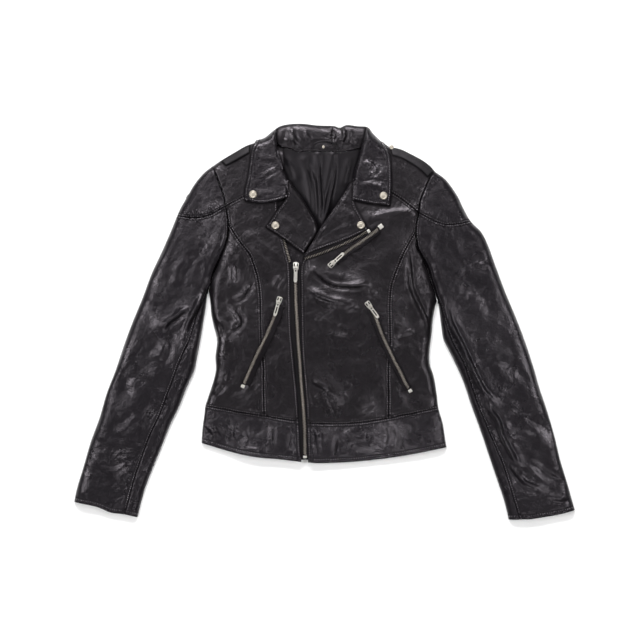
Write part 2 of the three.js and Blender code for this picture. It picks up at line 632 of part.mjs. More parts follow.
// A flat plate from its outline, with holes, from z = 0 up.
function plate(outline, tall, holes = []) {
  const shape = new THREE.Shape(outline.map(([x, y]) => new THREE.Vector2(x, y)));
  for (const hole of holes) shape.holes.push(new THREE.Path(hole.map(([x, y]) => new THREE.Vector2(x, y))));
  return new THREE.ExtrudeGeometry(shape, { depth: tall, bevelEnabled: false });
}

const ring = (x, y, r, n) => Array.from({ length: n }, (_, k) => {
  const turn = (2 * Math.PI * (k + 0.5)) / n;
  return [x + r * Math.cos(turn), y + r * Math.sin(turn)];
});

// ---- The garment ---------------------------------------------------------------------------------
const floorNeck = smooth(NECK_SEAM);
for (const side of ["right", "left"]) {
  const here = line[side];
  const armpit = ARMHOLE[side][0];
  const tip = ARMHOLE[side].at(-1);
  const princessEnd = PRINCESS[side].at(-1);
  const yokeEnd = YOKE[side][0];
  const waistSide = WAIST[side][0];
  const princessFoot = PRINCESS[side][0];

  // Armhole, waist and side seams are cut once and used by the panels on both sides of them.
  const holeLow = spread(between(here.ARMHOLE, armpit, princessEnd), 7, { start: true });
  const holeMid = spread(between(here.ARMHOLE, princessEnd, yokeEnd), 1);
  const holeHigh = spread(between(here.ARMHOLE, yokeEnd, tip), 5, { end: true });
  const holeUnder = spread(here.ARMHOLE, 6, { end: true });
  const princess = spread(here.PRINCESS, 10);
  const waistOuter = spread(between(here.WAIST, waistSide, princessFoot), 7, { start: true });
  const waistInner = spread(between(here.WAIST, princessFoot, WAIST[side].at(-1)), 5);
  const sideLow = spread(between(here.SIDE, SIDE[side].at(-1), waistSide), 3);
  const sideHigh = spread(between(here.SIDE, waistSide, armpit), 10);
  const yoke = spread(here.YOKE, 5);
  Object.assign(here, { holeUnder, sideLow, sideHigh });

  panel(`side_${side}`, bodyTop, { foot: waistOuter, top: holeLow, start: sideHigh, end: princess });
  panel(`front_${side}`, bodyTop, {
    foot: waistInner, top: yoke, start: joined(princess, holeMid), end: spread(here.ZIP_EDGE, 11),
  });
  panel(`yoke_${side}`, bodyTop, {
    foot: yoke, top: spread(here.SHOULDER, 5), start: holeHigh, end: spread(here.NECK_EDGE, 5, { end: true }),
  });
  panel(`band_${side}`, bodyTop, {
    foot: spread(here.HEM, 12, { start: true }), top: joined(waistOuter, waistInner),
    start: sideLow, end: spread(back(here.BAND_FRONT), 3),
  });

  const patchOuter = PATCH_SEAM[side][0];
  const bend = SLEEVE_OUT[side][3];
  const patchSeam = spread(here.PATCH_SEAM, 6, { start: true });
  const armSeam = spread(back(here.ARM_SEAM), 8);
  const cuffOuter = CUFF[side][0];
  const cuffSeam = ARM_SEAM[side].at(-1);
  const cuffInner = CUFF[side].at(-1);
  panel(`sleeve_upper_${side}`, sleeveTop[side], {
    foot: spread(between(here.CUFF, cuffOuter, cuffSeam), 6, { start: true }), top: patchSeam,
    start: spread(between(here.SLEEVE_OUT, cuffOuter, patchOuter), 13),
    end: joined(armSeam, [armSeam.at(-1), ...holeLow.slice(3)], holeMid),
  });
  panel(`sleeve_turn_${side}`, sleeveTop[side], {
    foot: spread(between(here.CUFF, cuffSeam, cuffInner), 4, { end: true }),
    top: spread([armSeam.at(-1), SLEEVE_IN[side][0]], 4),
    start: armSeam, end: spread(back(here.SLEEVE_IN), 8),
  });
  panel(`sleeve_patch_${side}`, sleeveTop[side], {
    foot: patchSeam, top: spread(between(here.SLEEVE_OUT, bend, tip), 6, { start: true }),
    start: spread(between(here.SLEEVE_OUT, patchOuter, bend), 5, { end: true }), end: holeHigh,
  });
  panel(`sleeve_under_${side}`, sleeveUnder[side], {
    foot: spread(between(here.CUFF, cuffOuter, cuffInner), 7, { start: true, end: true }),
    top: spread(between(here.SLEEVE_OUT, bend, tip), 7, { start: true }),
    start: spread(between(here.SLEEVE_OUT, cuffOuter, bend), 13, { end: true }),
    end: joined(spread(back(here.SLEEVE_IN), 8), [SLEEVE_IN[side][0], ...holeUnder.slice(2)]),
  });
}

// Back, on the table.
const { right, left } = line;
const backWaist = smooth([WAIST.right[0], [-120, -158], [0, -162], [110, -160], WAIST.left[0]]);
const backHem = smooth([HEM.right[0], [-120, -240], [0, -248], [120, -242], HEM.left[0]]);
const waistBack = spread(backWaist, 14, { start: true, end: true });
const shoulders = [
  ...spread(right.SHOULDER, 5),
  ...spread(floorNeck, 4).slice(1),
  ...spread(back(left.SHOULDER), 5).slice(1),
];
panel("back_panel", bodyUnder, {
  foot: waistBack, top: shoulders,
  start: joined(right.sideHigh, right.holeUnder), end: joined(left.sideHigh, left.holeUnder),
});
panel("band_back", bodyUnder, {
  foot: spread(backHem, 14, { start: true, end: true }), top: waistBack, start: right.sideLow, end: left.sideLow,
});
const fallFoot = shoulders.slice(3, -3).map(([x, y]) => [x, y + 0.5]);
panel("collar_fall", collarUnder, {
  foot: fallFoot, top: spread(collarTop, fallFoot.length - 1),
  start: spread([fallFoot[0], collarTop[0]], 3), end: spread([fallFoot.at(-1), collarTop.at(-1)], 3),
});

// Lining across the open neck, and the inside of the collar above it.
panel("lining_back", liningTop, {
  foot: spread([[-105, 96], [78, 96]], 10), top: spread(floorNeck, 10),
  start: spread([[-105, 96], [-100, 200], [-74, 313]], 6), end: spread([[78, 96], [84, 200], [66, 312]], 6),
}, { wall: SATIN, finish: "lining" });
const leafEnd = { right: LEAF.right.neck.at(-1), left: LEAF.left.neck.at(-1) };
panel("collar_band", bandTop, {
  foot: spread(floorNeck, 10), top: spread(between(collarTop, leafEnd.right, leafEnd.left), 10),
  start: spread(smooth([[-74, 313], [-84, 322], [-88, 335], leafEnd.right]), 6, { end: true }),
  end: spread(smooth([[66, 312], [72, 322], [77, 335], leafEnd.left]), 6, { end: true }),
});

// Front zip: tapes behind the edges of the fronts, teeth between them.
const flat = (from, to, tall) => [[from, 0], [to, 0], [to, tall], [from, tall]];
const teethSection = (half, tall) => [
  [-half, 0], [half, 0], [half, tall - 0.5], [half - 1, tall], [1 - half, tall], [-half, tall - 0.5],
];
const halfSection = (tape, teeth) => [
  [tape, 0], [teeth, 0], [teeth, CHAIN.thick], [teeth - 2.4, CHAIN.thick], [teeth - 2.4, TAPE.thick],
  [tape, TAPE.thick],
];
const behind = LEATHER + STACK + TAPE.thick;
strip("zip_tape_right", rail(CHAINS.tapes, 13, 14, behind), flat(-13, -0.2, TAPE.thick), "tape");
strip("zip_tape_left", rail(CHAINS.tapes, 11, 14, behind), flat(0.2, 11, TAPE.thick), "tape");
const onTapes = behind - TAPE.thick - 0.3;
strip("zip_chain", rail(CHAINS.main, 3, 14, onTapes), teethSection(CHAIN.wide / 2, CHAIN.thick), "teeth");
strip("zip_half_right", rail(CHAINS.main_right, 6, 5, behind), halfSection(-11, 2), "tape");
strip("zip_half_left", rail(CHAINS.main_left, 6, 10), halfSection(-12, 1.8), "tape");

// Pockets: a zip set between two lips.
for (const [name, { near, far }] of Object.entries(WELTS)) {
  const places = rail(CHAINS[name], Math.max(near, far), 8);
  const teeth = CHAIN.wide / 2 - 0.7;
  const [low, high] = [TAPE.thick, TAPE.thick + CHAIN.thick - 0.7];
  const [from, to] = [-Math.min(far - 2, 7), Math.min(near - 1, 7)];
  strip(`${name}_zip`, places, [
    [from, 0], [to, 0], [to, low], [teeth, low], [teeth, high], [-teeth, high], [-teeth, low], [from, low],
  ], "teeth");
  const lip = (a, b) => flat(a, b, 1.1).map(([across, up]) => [across, up + low + 0.35]);
  strip(`${name}_lip_front`, places, lip(teeth + 0.6, near), "leather");
  strip(`${name}_lip_side`, places, lip(-far, -teeth - 0.6), "leather");
}

// Lapels turned back on the fronts, then the ends of the collar on top of them.
const sheetOf = ({ foot, top, start, end }, columns, rows, folds = {}) => ({
  foot: spread(smooth(foot), columns), top: spread(folds.top ?? smooth(top), columns),
  start: spread(smooth(start), rows, folds.rows), end: spread(smooth(end), rows, folds.rows),
});
const rightLapel = LAPEL.right, leftLapel = LAPEL.left;
panel("lapel_right", overlay(3.5, rightLapel.neck, []),
  sheetOf({ ...rightLapel, start: rightLapel.out, end: rightLapel.neck }, 5, 8), { over: 5 });
panel("lapel_left", overlay(3.5, leftLapel.neck, []),
  sheetOf({ ...leftLapel, start: leftLapel.neck, end: leftLapel.out }, 6, 8), { over: 5 });
for (const side of ["right", "left"]) {
  const { upper, lower } = EPAULETTE[side];
  const along = 6;
  panel(`epaulette_${side}`, { ...bodyTop, folds: [] }, {
    foot: spread(smooth(lower), along), top: spread(smooth(upper), along),
    start: spread([lower[0], upper[0]], 2), end: spread([lower.at(-1), upper.at(-1)], 2),
  }, { out: 0.9 + LEATHER });
}
const rows = { end: true };
panel("collar_leaf_right", overlay(6.4, LEAF.right.neck, collarFold),
  sheetOf({ foot: LEAF.right.foot, start: LEAF.right.out, end: LEAF.right.neck }, 5, 9,
    { rows, top: between(collarTop, collarTop[0], leafEnd.right) }), { wall: COLLAR, over: 14 });
panel("collar_leaf_left", overlay(6.4, LEAF.left.neck, collarFold),
  sheetOf({ foot: LEAF.left.foot, start: LEAF.left.neck, end: LEAF.left.out }, 5, 9,
    { rows, top: between(collarTop, leafEnd.left, collarTop.at(-1)) }), { wall: COLLAR, over: 14 });
strip("hanger_loop", rail(HANGER, 3, 10), flat(-1.8, 1.8, 1.1), "lining");

// ---- Hard pieces -----------------------------------------------------------------------------------
const placed = (geometry, seatMatrix) => closedFrom(geometry.applyMatrix4(seatMatrix));

function stud(r, tall) {
  const profile = [[0, 0], [r, 0], [r, tall * 0.4], [r * 0.72, tall * 0.88], [0, tall]];
  const shape = profile.map(([x, y]) => new THREE.Vector2(x, y));
  return new THREE.LatheGeometry(shape, 14).rotateX(Math.PI / 2);
}
for (const [name, at] of Object.entries(SNAPS)) {
  const towards = [at[0], at[1] + 1];
  add(`snap_${name}`, placed(stud(SNAP.r, SNAP.tall), seat({ at, towards }, SNAP.r)), "nickel");
}
const rivet = { at: HANGER_RIVET, towards: [HANGER_RIVET[0], HANGER_RIVET[1] + 1] };
add("hanger_rivet", placed(stud(2.6, 1.2), seat(rivet, 2.6)), "nickel");
for (const [name, stop] of Object.entries(STOPS)) {
  const box = new THREE.BoxGeometry(stop.wide, stop.long, stop.tall).translate(0, 0, stop.tall / 2);
  add(`${name}_stop`, placed(box, seat(stop, stop.long / 2)), "nickel");
}

// Slider: a body that tapers to one end, a bridge over it with a hole across for the pull's pin.
for (const [name, slider] of Object.entries(SLIDERS)) {
  const base = seat(slider, name === "main" ? 4 : 7.5);
  const { long, wide, tall, bridge, pin } = SLIDER;
  const half = [
    [wide * 0.3, -long / 2], [wide / 2, -long * 0.42], [wide / 2, long * 0.16], [wide * 0.36, long / 2],
  ];
  const otherHalf = half.map(([x, y]) => [-x, y]).reverse();
  const body = plate([...half, ...otherHalf], tall);
  const hinge = { y: 2, z: tall + 2 };
  const arch = plate([[-4.8, -0.3], [4.8, -0.3], [4.4, 2.6], [3, 3.8], [-3.4, 3.8], [-4.8, 2.4]], bridge,
    [ring(hinge.y, 2, pin + 0.4, 12)]);
  const [X, Y, Z] = [[1, 0, 0], [0, 1, 0], [0, 0, 1]].map((axis) => new THREE.Vector3(...axis));
  arch.applyMatrix4(new THREE.Matrix4().makeBasis(Y, Z, X)).translate(-bridge / 2, 0, tall);
  add(`${name}_slider`, placed(fromManifold(toManifold(body).add(toManifold(arch))), base), "nickel");

  // Pull: a fork round the bridge, its pin through the hole. It leans down until it rests.
  const gap = bridge / 2 + 0.45;
  const tab = PULL.wide / 2;
  const prong = [[gap, 3.3], [gap, -0.8], [gap + PULL.arm, -0.8], [gap + PULL.arm, 2.6], [tab, 5]];
  const flank = [...prong, [tab, PULL.long - 3], [tab * 0.55, PULL.long]];
  const fork = plate([...flank, ...flank.map(([x, y]) => [-x, y]).reverse()], PULL.thick);
  fork.translate(0, 0, -PULL.thick / 2);
  const rod = new THREE.CylinderGeometry(pin, pin, 2 * (gap + PULL.arm * 0.5), 12).rotateZ(Math.PI / 2);
  let lean = Math.PI / 8;
  for (let y = 4; y <= PULL.long; y += 1.5) {
    for (const x of [-tab, 0, tab]) {
      const place = new THREE.Vector3(x, y + hinge.y, 0).applyMatrix4(base);
      const onBody = y + hinge.y < long / 2 + 1 ? place.z + tall : -Infinity;
      const room = place.z + hinge.z - PULL.thick / 2 - STACK - Math.max(laidAt(place.x, place.y), onBody);
      lean = Math.min(lean, Math.asin(THREE.MathUtils.clamp(room / y, -0.9, 0.9)));
    }
  }
  const pull = fromManifold(toManifold(fork).add(toManifold(rod)));
  pull.rotateX(-lean).translate(0, hinge.y, hinge.z);
  add(`${name}_pull`, placed(pull, base), "nickel");
}

export default jacket;
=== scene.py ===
# %% [markdown]
# # A leather biker jacket, laid flat on its back
#
# The jacket is sewn from panels of soft black leather with a satin lining. It lies on a white
# surface, the front zip half open, the lapels turned back and the collar folded down.
#
# A garment that lies flat is mostly two layers. The layer on the table is flat. The layer on top
# floats on the lining and seam allowances under it, and turns down to the bottom layer along the
# side folds, the shoulders and both edges of each sleeve. So each panel is built here as a plan, a
# net stretched between its four edge lines, and a height, which only depends on how far a place is
# from the folds. Creases, puckered seams and the grain of the leather then go on top of that.
#
# Lengths in the tables are millimetres: +X to the wearer's left, +Y to the collar, +Z up.

import json
import math

import bmesh
import bpy
import numpy as np
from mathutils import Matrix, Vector
from mathutils.bvhtree import BVHTree

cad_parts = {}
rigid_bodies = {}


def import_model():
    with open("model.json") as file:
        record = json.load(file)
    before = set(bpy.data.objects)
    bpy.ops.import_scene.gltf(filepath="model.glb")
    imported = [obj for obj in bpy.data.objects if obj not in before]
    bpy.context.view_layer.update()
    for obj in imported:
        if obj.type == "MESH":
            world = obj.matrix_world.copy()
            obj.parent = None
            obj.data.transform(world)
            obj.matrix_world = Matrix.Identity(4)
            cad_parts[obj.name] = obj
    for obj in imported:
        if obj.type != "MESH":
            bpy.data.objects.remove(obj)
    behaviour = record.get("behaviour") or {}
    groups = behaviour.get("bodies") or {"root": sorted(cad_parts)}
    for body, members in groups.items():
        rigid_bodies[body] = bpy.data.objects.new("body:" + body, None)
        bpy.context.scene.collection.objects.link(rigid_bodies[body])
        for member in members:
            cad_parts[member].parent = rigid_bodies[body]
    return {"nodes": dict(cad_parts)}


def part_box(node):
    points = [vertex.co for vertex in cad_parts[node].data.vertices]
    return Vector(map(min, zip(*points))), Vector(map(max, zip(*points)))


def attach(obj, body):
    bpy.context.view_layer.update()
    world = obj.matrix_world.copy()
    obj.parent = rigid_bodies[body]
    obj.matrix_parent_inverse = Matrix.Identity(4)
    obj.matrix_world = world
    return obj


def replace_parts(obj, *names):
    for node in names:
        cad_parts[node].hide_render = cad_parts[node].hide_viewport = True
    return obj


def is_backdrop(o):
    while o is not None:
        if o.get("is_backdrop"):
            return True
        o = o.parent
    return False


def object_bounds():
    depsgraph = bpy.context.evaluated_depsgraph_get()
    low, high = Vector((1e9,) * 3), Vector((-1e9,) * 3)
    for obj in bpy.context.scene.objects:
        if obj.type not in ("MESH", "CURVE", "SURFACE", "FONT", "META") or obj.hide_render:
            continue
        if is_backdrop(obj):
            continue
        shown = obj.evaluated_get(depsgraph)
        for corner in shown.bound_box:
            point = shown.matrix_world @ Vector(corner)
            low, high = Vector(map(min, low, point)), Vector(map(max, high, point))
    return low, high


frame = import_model()
CAD_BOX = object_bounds()
MM = 0.001
SIDES = ("right", "left")
print("CAD box", [tuple(round(v, 4) for v in corner) for corner in CAD_BOX])

# %% [markdown]
# ## The edge lines
#
# The cut of a garment is its seam lines. Each one is a short run of points through which a smooth
# line is drawn. A third number is the height of the seam there, because an armhole sinks as it goes
# down to the armpit.

# %% Lines of the body
SIDE = {
    "right": [
        (-209, 55), (-206, 33), (-204, 10), (-199, -12), (-194, -33), (-197, -64), (-196, -87),
        (-201, -109), (-211.5, -141), (-215, -152), (-217, -168), (-220.5, -195), (-222, -219)
    ],
    "left": [
        (203, 37), (200, 28), (196, 6.5), (193.5, -22.5), (190, -51), (190, -76.5), (197, -98),
        (202.5, -130.5), (205.5, -155.5), (213.5, -184.5), (218.5, -217), (220.5, -226.5)
    ]
}
ARMHOLE = {
    "right": [
        (-209, 55, 4.5), (-201.5, 84, 6), (-190, 112.5, 8), (-179, 139.5, 12), (-174.5, 154, 14),
        (-173, 174.5, 16), (-175, 193.5, 17), (-177.5, 207, 17.5), (-181, 224, 18), (-185.5, 238.5, 18),
        (-191, 253, 18), (-198, 270, 18), (-204, 279, 18)
    ],
    "left": [
        (203, 37, 4.5), (199, 55, 5), (192, 75, 6), (188, 91, 7), (179, 111, 9), (171, 125, 12),
        (166.5, 138, 14), (164.5, 161, 16), (165.5, 175.5, 17), (169, 195.5, 17.5), (172, 217, 18),
        (181, 240, 18), (190, 259, 18), (200, 270, 18)
    ]
}
SHOULDER = {
    "right": [(-204, 279), (-186, 291), (-161, 306), (-139.5, 318), (-121.5, 323), (-98, 321), (-74, 313)],
    "left": [
        (200, 270), (191.5, 280), (177.5, 290.5), (157.5, 301.5), (137.5, 311), (117, 315), (92, 317),
        (66, 312)
    ]
}
PRINCESS = {
    "right": [
        (-108.5, -170), (-109.5, -132), (-110, -78), (-112.5, -51), (-114.5, -15), (-115.5, 39), (-118, 66),
        (-121.5, 84), (-127, 102), (-134, 120), (-146.5, 136), (-155.5, 148.5), (-173, 174.5)
    ],
    "left": [
        (115.5, -174.5), (115.5, -132), (115, -87), (118, -42), (117.5, -6.5), (117, 30), (119, 57),
        (122.5, 73), (128, 89), (136, 109), (143, 125), (152, 141), (164.5, 161)
    ]
}
ZIP_EDGE = {
    "right": [
        (-45.5, -180), (-49.5, -123), (-53, -87), (-56.5, -51), (-59.5, -15), (-61, 39), (-62, 96),
        (-65.5, 114), (-74, 145), (-82, 179), (-84.5, 210), (-82, 237)
    ],
    "left": [
        (-32, -183.5), (-34, -141), (-38.5, -91), (-41.5, -42), (-42.5, 3), (-43, 57), (-43, 96),
        (-39.5, 109), (-33, 125), (-21, 145), (-8, 168), (3, 184), (18, 206), (37, 235), (48, 251)
    ]
}
NECK_EDGE = {
    "right": [(-82, 237), (-76, 262), (-73, 285), (-74, 313)],
    "left": [(48, 251), (55, 270), (60, 290), (66, 312)]
}
YOKE = {
    "right": [(-177.5, 207), (-145, 224), (-112.5, 235), (-82, 237)],
    "left": [(169, 195.5), (145, 215), (121.5, 230.5), (85.5, 243), (48, 251)]
}
WAIST = {
    "right": [(-215, -152), (-188, -157), (-152, -163.5), (-108.5, -170), (-80, -175.5), (-45.5, -180)],
    "left": [
        (205.5, -155.5), (172, -162.5), (136, -170), (115.5, -174.5), (64, -182), (28, -184.5), (-8, -184),
        (-32, -183.5)
    ]
}
HEM = {
    "right": [(-222, -219), (-184.5, -230.5), (-152, -239), (-116, -245), (-80, -248), (-41.5, -253)],
    "left": [
        (220.5, -226.5), (172, -236.5), (136, -243), (100, -248), (64, -252), (28, -254), (-8, -255),
        (-29.5, -254)
    ]
}
BAND_FRONT = {
    "right": [(-45.5, -180), (-44, -215), (-41.5, -253)],
    "left": [(-32, -183.5), (-31, -215), (-29.5, -254)]
}
print("body tables ready")

# %% [markdown]
# The sleeves hang a little out from the body. Their outer and inner lines are folds; the seam
# between upper and under sleeve and the seam of the patch over the head lie on the upper side.

# %% Lines of the sleeves
SLEEVE_OUT = {
    "right": [
        (-204, 279), (-217, 269), (-235, 247.5), (-247.5, 226), (-260, 204.5), (-266, 191), (-276, 166.5),
        (-292.5, 128.5), (-312.5, 85.5), (-328.5, 42.5), (-346.5, -1), (-362.5, -44), (-377, -87.5),
        (-393.5, -130.5), (-406, -173.5), (-422, -217), (-434.5, -260), (-447.5, -303.5), (-452, -325)
    ],
    "left": [
        (200, 270), (217, 258), (226, 247.5), (240.5, 226), (251, 204), (264, 181), (283.5, 161),
        (294.5, 139.5), (310.5, 96), (326.5, 53), (344.5, 10), (361, -33), (375.5, -76.5), (388, -119.5),
        (402.5, -163), (415, -206), (425.5, -249.5), (438.5, -292.5), (452, -340)
    ]
}
SLEEVE_IN = {
    "right": [
        (-211.5, 54), (-214, 30), (-220.5, -12), (-224, -33), (-230.5, -66), (-235, -87.5), (-249.5, -120),
        (-262, -152), (-278, -184.5), (-295, -227.5), (-308.5, -260), (-325, -303.5), (-338, -353)
    ],
    "left": [
        (205.5, 36), (208.8, 10), (211.5, -12), (215, -33), (226, -55), (236.5, -76.5), (251, -109),
        (265.5, -152), (281.5, -195.5), (296, -238.5), (310.5, -281.5), (325, -325), (333, -357.5)
    ]
}
ARM_SEAM = {
    "right": [
        (-210, 60), (-221, 28), (-231.5, 3), (-243, -33.5), (-253, -55), (-263.5, -80), (-274.5, -110.5),
        (-287, -141.5), (-299.5, -173.5), (-312.5, -200.5), (-332, -253), (-343, -285.5), (-360, -347.5)
    ],
    "left": [
        (203.8, 43), (211, 24), (218.5, -6), (227.5, -33.5), (238.5, -55), (249.5, -76.5), (264.5, -119.5),
        (272.5, -141.5), (287, -177.5), (298, -204.5), (319.5, -253), (330.5, -285.5), (341, -321.5),
        (352, -356.5)
    ]
}
PATCH_SEAM = {
    "right": [(-266, 191), (-242, 186.5), (-224, 187), (-206, 191.5), (-193.5, 198), (-177.5, 207)],
    "left": [(264, 181), (242, 175.5), (218.5, 174), (208, 176.5), (194.5, 181.5), (169, 195.5)]
}
CUFF = {
    "right": [(-452, -325), (-409.5, -334), (-386, -344), (-360, -347.5), (-338, -353)],
    "left": [(452, -340), (424, -347.5), (397, -352), (370, -356), (352, -356.5), (333, -357.5)]
}
print("sleeve tables ready")

# %% [markdown]
# The collar stands up at the neck seam, folds over along its top line and comes down in two
# pointed leaves. The lapels are the tops of the fronts, turned back. Epaulettes are sewn in at the
# shoulder and mostly hidden.

# %% Lines of collar, lapels and straps
NECK_SEAM = [
    (-74, 313), (-62, 311), (-50, 305.5), (-30, 307), (-2.5, 306), (30, 306), (50.5, 309), (66, 312)
]
COLLAR_TOP = [
    (-122.5, 327.5), (-109, 331.5), (-92.5, 344.5), (-81, 352.5), (-64.5, 356.5), (-40, 357.5),
    (-14, 354.5), (19, 353), (27, 350), (39, 355), (60, 353), (78, 351), (88, 339), (108, 320)
]
LEAF = {
    "right": {
        "foot": [(-143, 216), (-112.5, 212), (-92.5, 214.5), (-67, 221.5)],
        "out": [
            (-143, 216), (-143, 236.5), (-138.5, 255.5), (-134.5, 283.5), (-130.5, 307.5), (-122.5, 327.5)
        ],
        "neck": [
            (-67, 221.5, 17), (-66, 257, 15), (-73, 272, 15), (-80, 294.5, 15), (-83.5, 307, 15),
            (-85.5, 326.5, 14), (-87, 348.5, 3)
        ]
    },
    "left": {
        "foot": [(50.5, 218), (76, 212), (100.5, 209), (117, 207.5)],
        "out": [(117, 207.5), (120.5, 240.5), (120, 263.5), (118.5, 291.5), (112.5, 311.5), (108, 320)],
        "neck": [
            (50.5, 218, 17), (51.5, 255, 15), (54.5, 275, 15), (59, 287.5, 15), (66.5, 315.5, 15),
            (72, 336, 14), (76, 351, 3)
        ]
    }
}
LAPEL = {
    "right": {
        "foot": [(-105.5, 169), (-70, 145), (-38.5, 121.5)],
        "neck": [
            (-38.5, 121.5, 19), (-24.5, 143, 18), (-12.5, 163, 16), (-14.5, 177, 15), (-28.5, 202.5, 15),
            (-42, 225, 15), (-54, 240.5, 15), (-60, 252, 15)
        ],
        "out": [(-105.5, 169), (-86, 198), (-67.5, 226), (-74, 252)],
        "top": [(-74, 252), (-67, 253), (-60, 252)]
    },
    "left": {
        "foot": [(-38.5, 110.5), (-28, 121), (-8, 129), (28, 142), (55, 153), (78.5, 165)],
        "neck": [
            (-38.5, 110.5, 18), (-32.5, 125, 16), (-20.5, 145, 15), (-7.5, 168, 15), (3.5, 184, 15),
            (18.5, 206, 15), (37.5, 235, 15), (45, 249, 15)
        ],
        "out": [(78.5, 165), (66, 189), (54, 214), (57, 250)], "top": [(45, 249), (51, 251), (57, 250)]
    }
}
EPAULETTE = {
    "right": {
        "upper": [(-185, 288), (-170, 297), (-152, 307.5), (-134, 317)],
        "lower": [(-177, 279.5), (-164, 286), (-150, 294), (-134, 303)]
    },
    "left": {
        "upper": [(195, 270), (177, 287.5), (156, 299), (137, 308), (118, 311.5)],
        "lower": [(185, 259.5), (172, 272), (156, 283), (138, 293), (121, 298)]
    }
}
print("collar tables ready")

# %% [markdown]
# Zips, snaps and the hanger loop: where each one starts and which way its pull points. The larger
# folds of the body and of the lining are ridges from one place to another, with height and width.

# %% Lines of zips and small pieces, and the large folds
CHAINS = {
    "tapes": [
        (-35, -249), (-36, -186), (-38.5, -150), (-41.5, -114), (-44, -78), (-47.5, -33), (-49.5, 3),
        (-51.5, 39), (-52, 103.5)
    ],
    "main": [
        (-35, -240), (-36, -186), (-38.5, -150), (-41.5, -114), (-44, -78), (-47.5, -33), (-49.5, 3),
        (-51.5, 39), (-51.9, 91.3)
    ],
    "main_right": [(-60.5, 108), (-63.5, 120), (-71, 146), (-78, 178), (-80, 196)],
    "main_left": [
        (-34, 110.5), (-26, 113.5), (-8, 119.5), (10, 126.5), (28, 134), (46, 142), (64, 151.5), (76, 159.5)
    ],
    "pocket_chest": [(19.2, 107.8), (37, 122.5), (46, 129.5), (64, 141.5), (82, 154.5), (96.5, 166)],
    "pocket_right": [
        (-84.2, 29.8), (-91, 6.5), (-101.5, -19), (-112.5, -42.5), (-123.5, -64), (-134, -87.5),
        (-144.5, -112)
    ],
    "pocket_left": [
        (83.4, 23), (92, 6.5), (100, -15.5), (109, -37), (118, -55), (127, -74.5), (136, -91),
        (145, -110.5), (151.5, -120.5)
    ]
}
SLIDERS = {
    "main": {"at": (-51.5, 99), "towards": (-52.4, 64)},
    "pocket_chest": {"at": (13.2, 103), "towards": (36, 124)},
    "pocket_right": {"at": (-81.5, 37.6), "towards": (-89, 11.5)},
    "pocket_left": {"at": (79.2, 29.8), "towards": (96.5, 6.5)}
}
STOPS = {
    "main_bottom": {"at": (-35, -243.6), "towards": (-36, -186), "wide": 6.5, "long": 4, "tall": 2.6},
    "main_top": {"at": (79, 161.8), "towards": (64, 151.5), "wide": 6, "long": 5, "tall": 2.6},
    "pocket_chest": {"at": (101, 170), "towards": (82, 154.5), "wide": 8, "long": 8, "tall": 2},
    "pocket_right": {
        "at": (-146.6, -116.3), "towards": (-134, -87.5), "wide": 6.5, "long": 5.5, "tall": 2.6
    },
    "pocket_left": {"at": (154, -124.6), "towards": (145, -110.5), "wide": 6.5, "long": 5.5, "tall": 2.6}
}
WELTS = {
    "pocket_chest": {"near": 8, "far": 6}, "pocket_right": {"near": 4.6, "far": 12.4},
    "pocket_left": {"near": 9, "far": 6.4}
}
HANGER = [(-21, 309), (-20, 318), (-8, 323.5), (8, 324), (21, 318), (23, 309)]
SNAPS = {
    "collar_right": (-128, 227.5), "collar_left": (105.5, 225), "lapel_right": (-88, 172),
    "lapel_left": (65, 172.5)
}
FOLDS = [
    ((-18, 92), (70, 66), 3, 11), ((-15, 45), (48, 24), 2.5, 13), ((82, 184), (166, 199), 4, 13),
    ((-30, -90), (20, -130), 2.5, 14), ((-200, 20), (-140, -20), 2.5, 14), ((145, 120), (185, -10), 3, 12),
    ((-230, 25), (-290, -5), 3.5, 13), ((-340, -95), (-300, -150), -3, 16), ((215, 30), (262, -75), 3, 10),
    ((262, -75), (350, -260), 3.5, 12), ((350, -285), (430, -300), -3, 14)
]
PLEATS = [((-12, 300), (-6, 150), 3, 8), ((14, 300), (-2, 150), 3.5, 8), ((-38, 290), (-24, 200), 2, 9)]
print("small tables ready")

# %% [markdown]
# A smooth line through a few points: a centripetal Catmull-Rom curve never loops or overshoots
# between points that are unevenly spaced, which suits lines drawn from a real garment.

# %% Smooth lines
FOLD_Z = 3.0


def smooth(points, step=2.5):
    """A line through the points, as rows of x, y and the third number, about every step mm."""
    p = np.array([(*q, FOLD_Z)[:3] for q in points], float)
    p = np.vstack([2 * p[0] - p[1], p, 2 * p[-1] - p[-2]])
    runs = []
    for a, b, c, d in zip(p, p[1:], p[2:], p[3:]):
        k0, k1, k2 = (max(math.sqrt(np.linalg.norm(r - q)), 1e-3) for q, r in ((a, b), (b, c), (c, d)))
        m = ((b - a) / k0 - (c - a) / (k0 + k1) + (c - b) / k1) * k1
        n = ((c - b) / k1 - (d - b) / (k1 + k2) + (d - c) / k2) * k1
        t = np.linspace(0, 1, max(2, round(np.linalg.norm(c - b) / step)), endpoint=False)[:, None]
        runs.append(
            b * (
                2 * t**3 - 3 * t**2 + 1
            ) + m * (t**3 - 2 * t**2 + t) + c * (3 * t**2 - 2 * t**3) + n * (t**3 - t**2)
        )
    return np.vstack([*runs, p[-2:-1]])


def lengths(line):
    """How far along the line each of its points is."""
    return np.concatenate([[0], np.cumsum(np.hypot(*np.diff(line[:, :2], axis=0).T))])


def at(line, distance):
    """Points of the line at these distances along it."""
    sums = lengths(line)
    return np.stack([np.interp(distance, sums, line[:, k]) for k in range(line.shape[1])], -1)


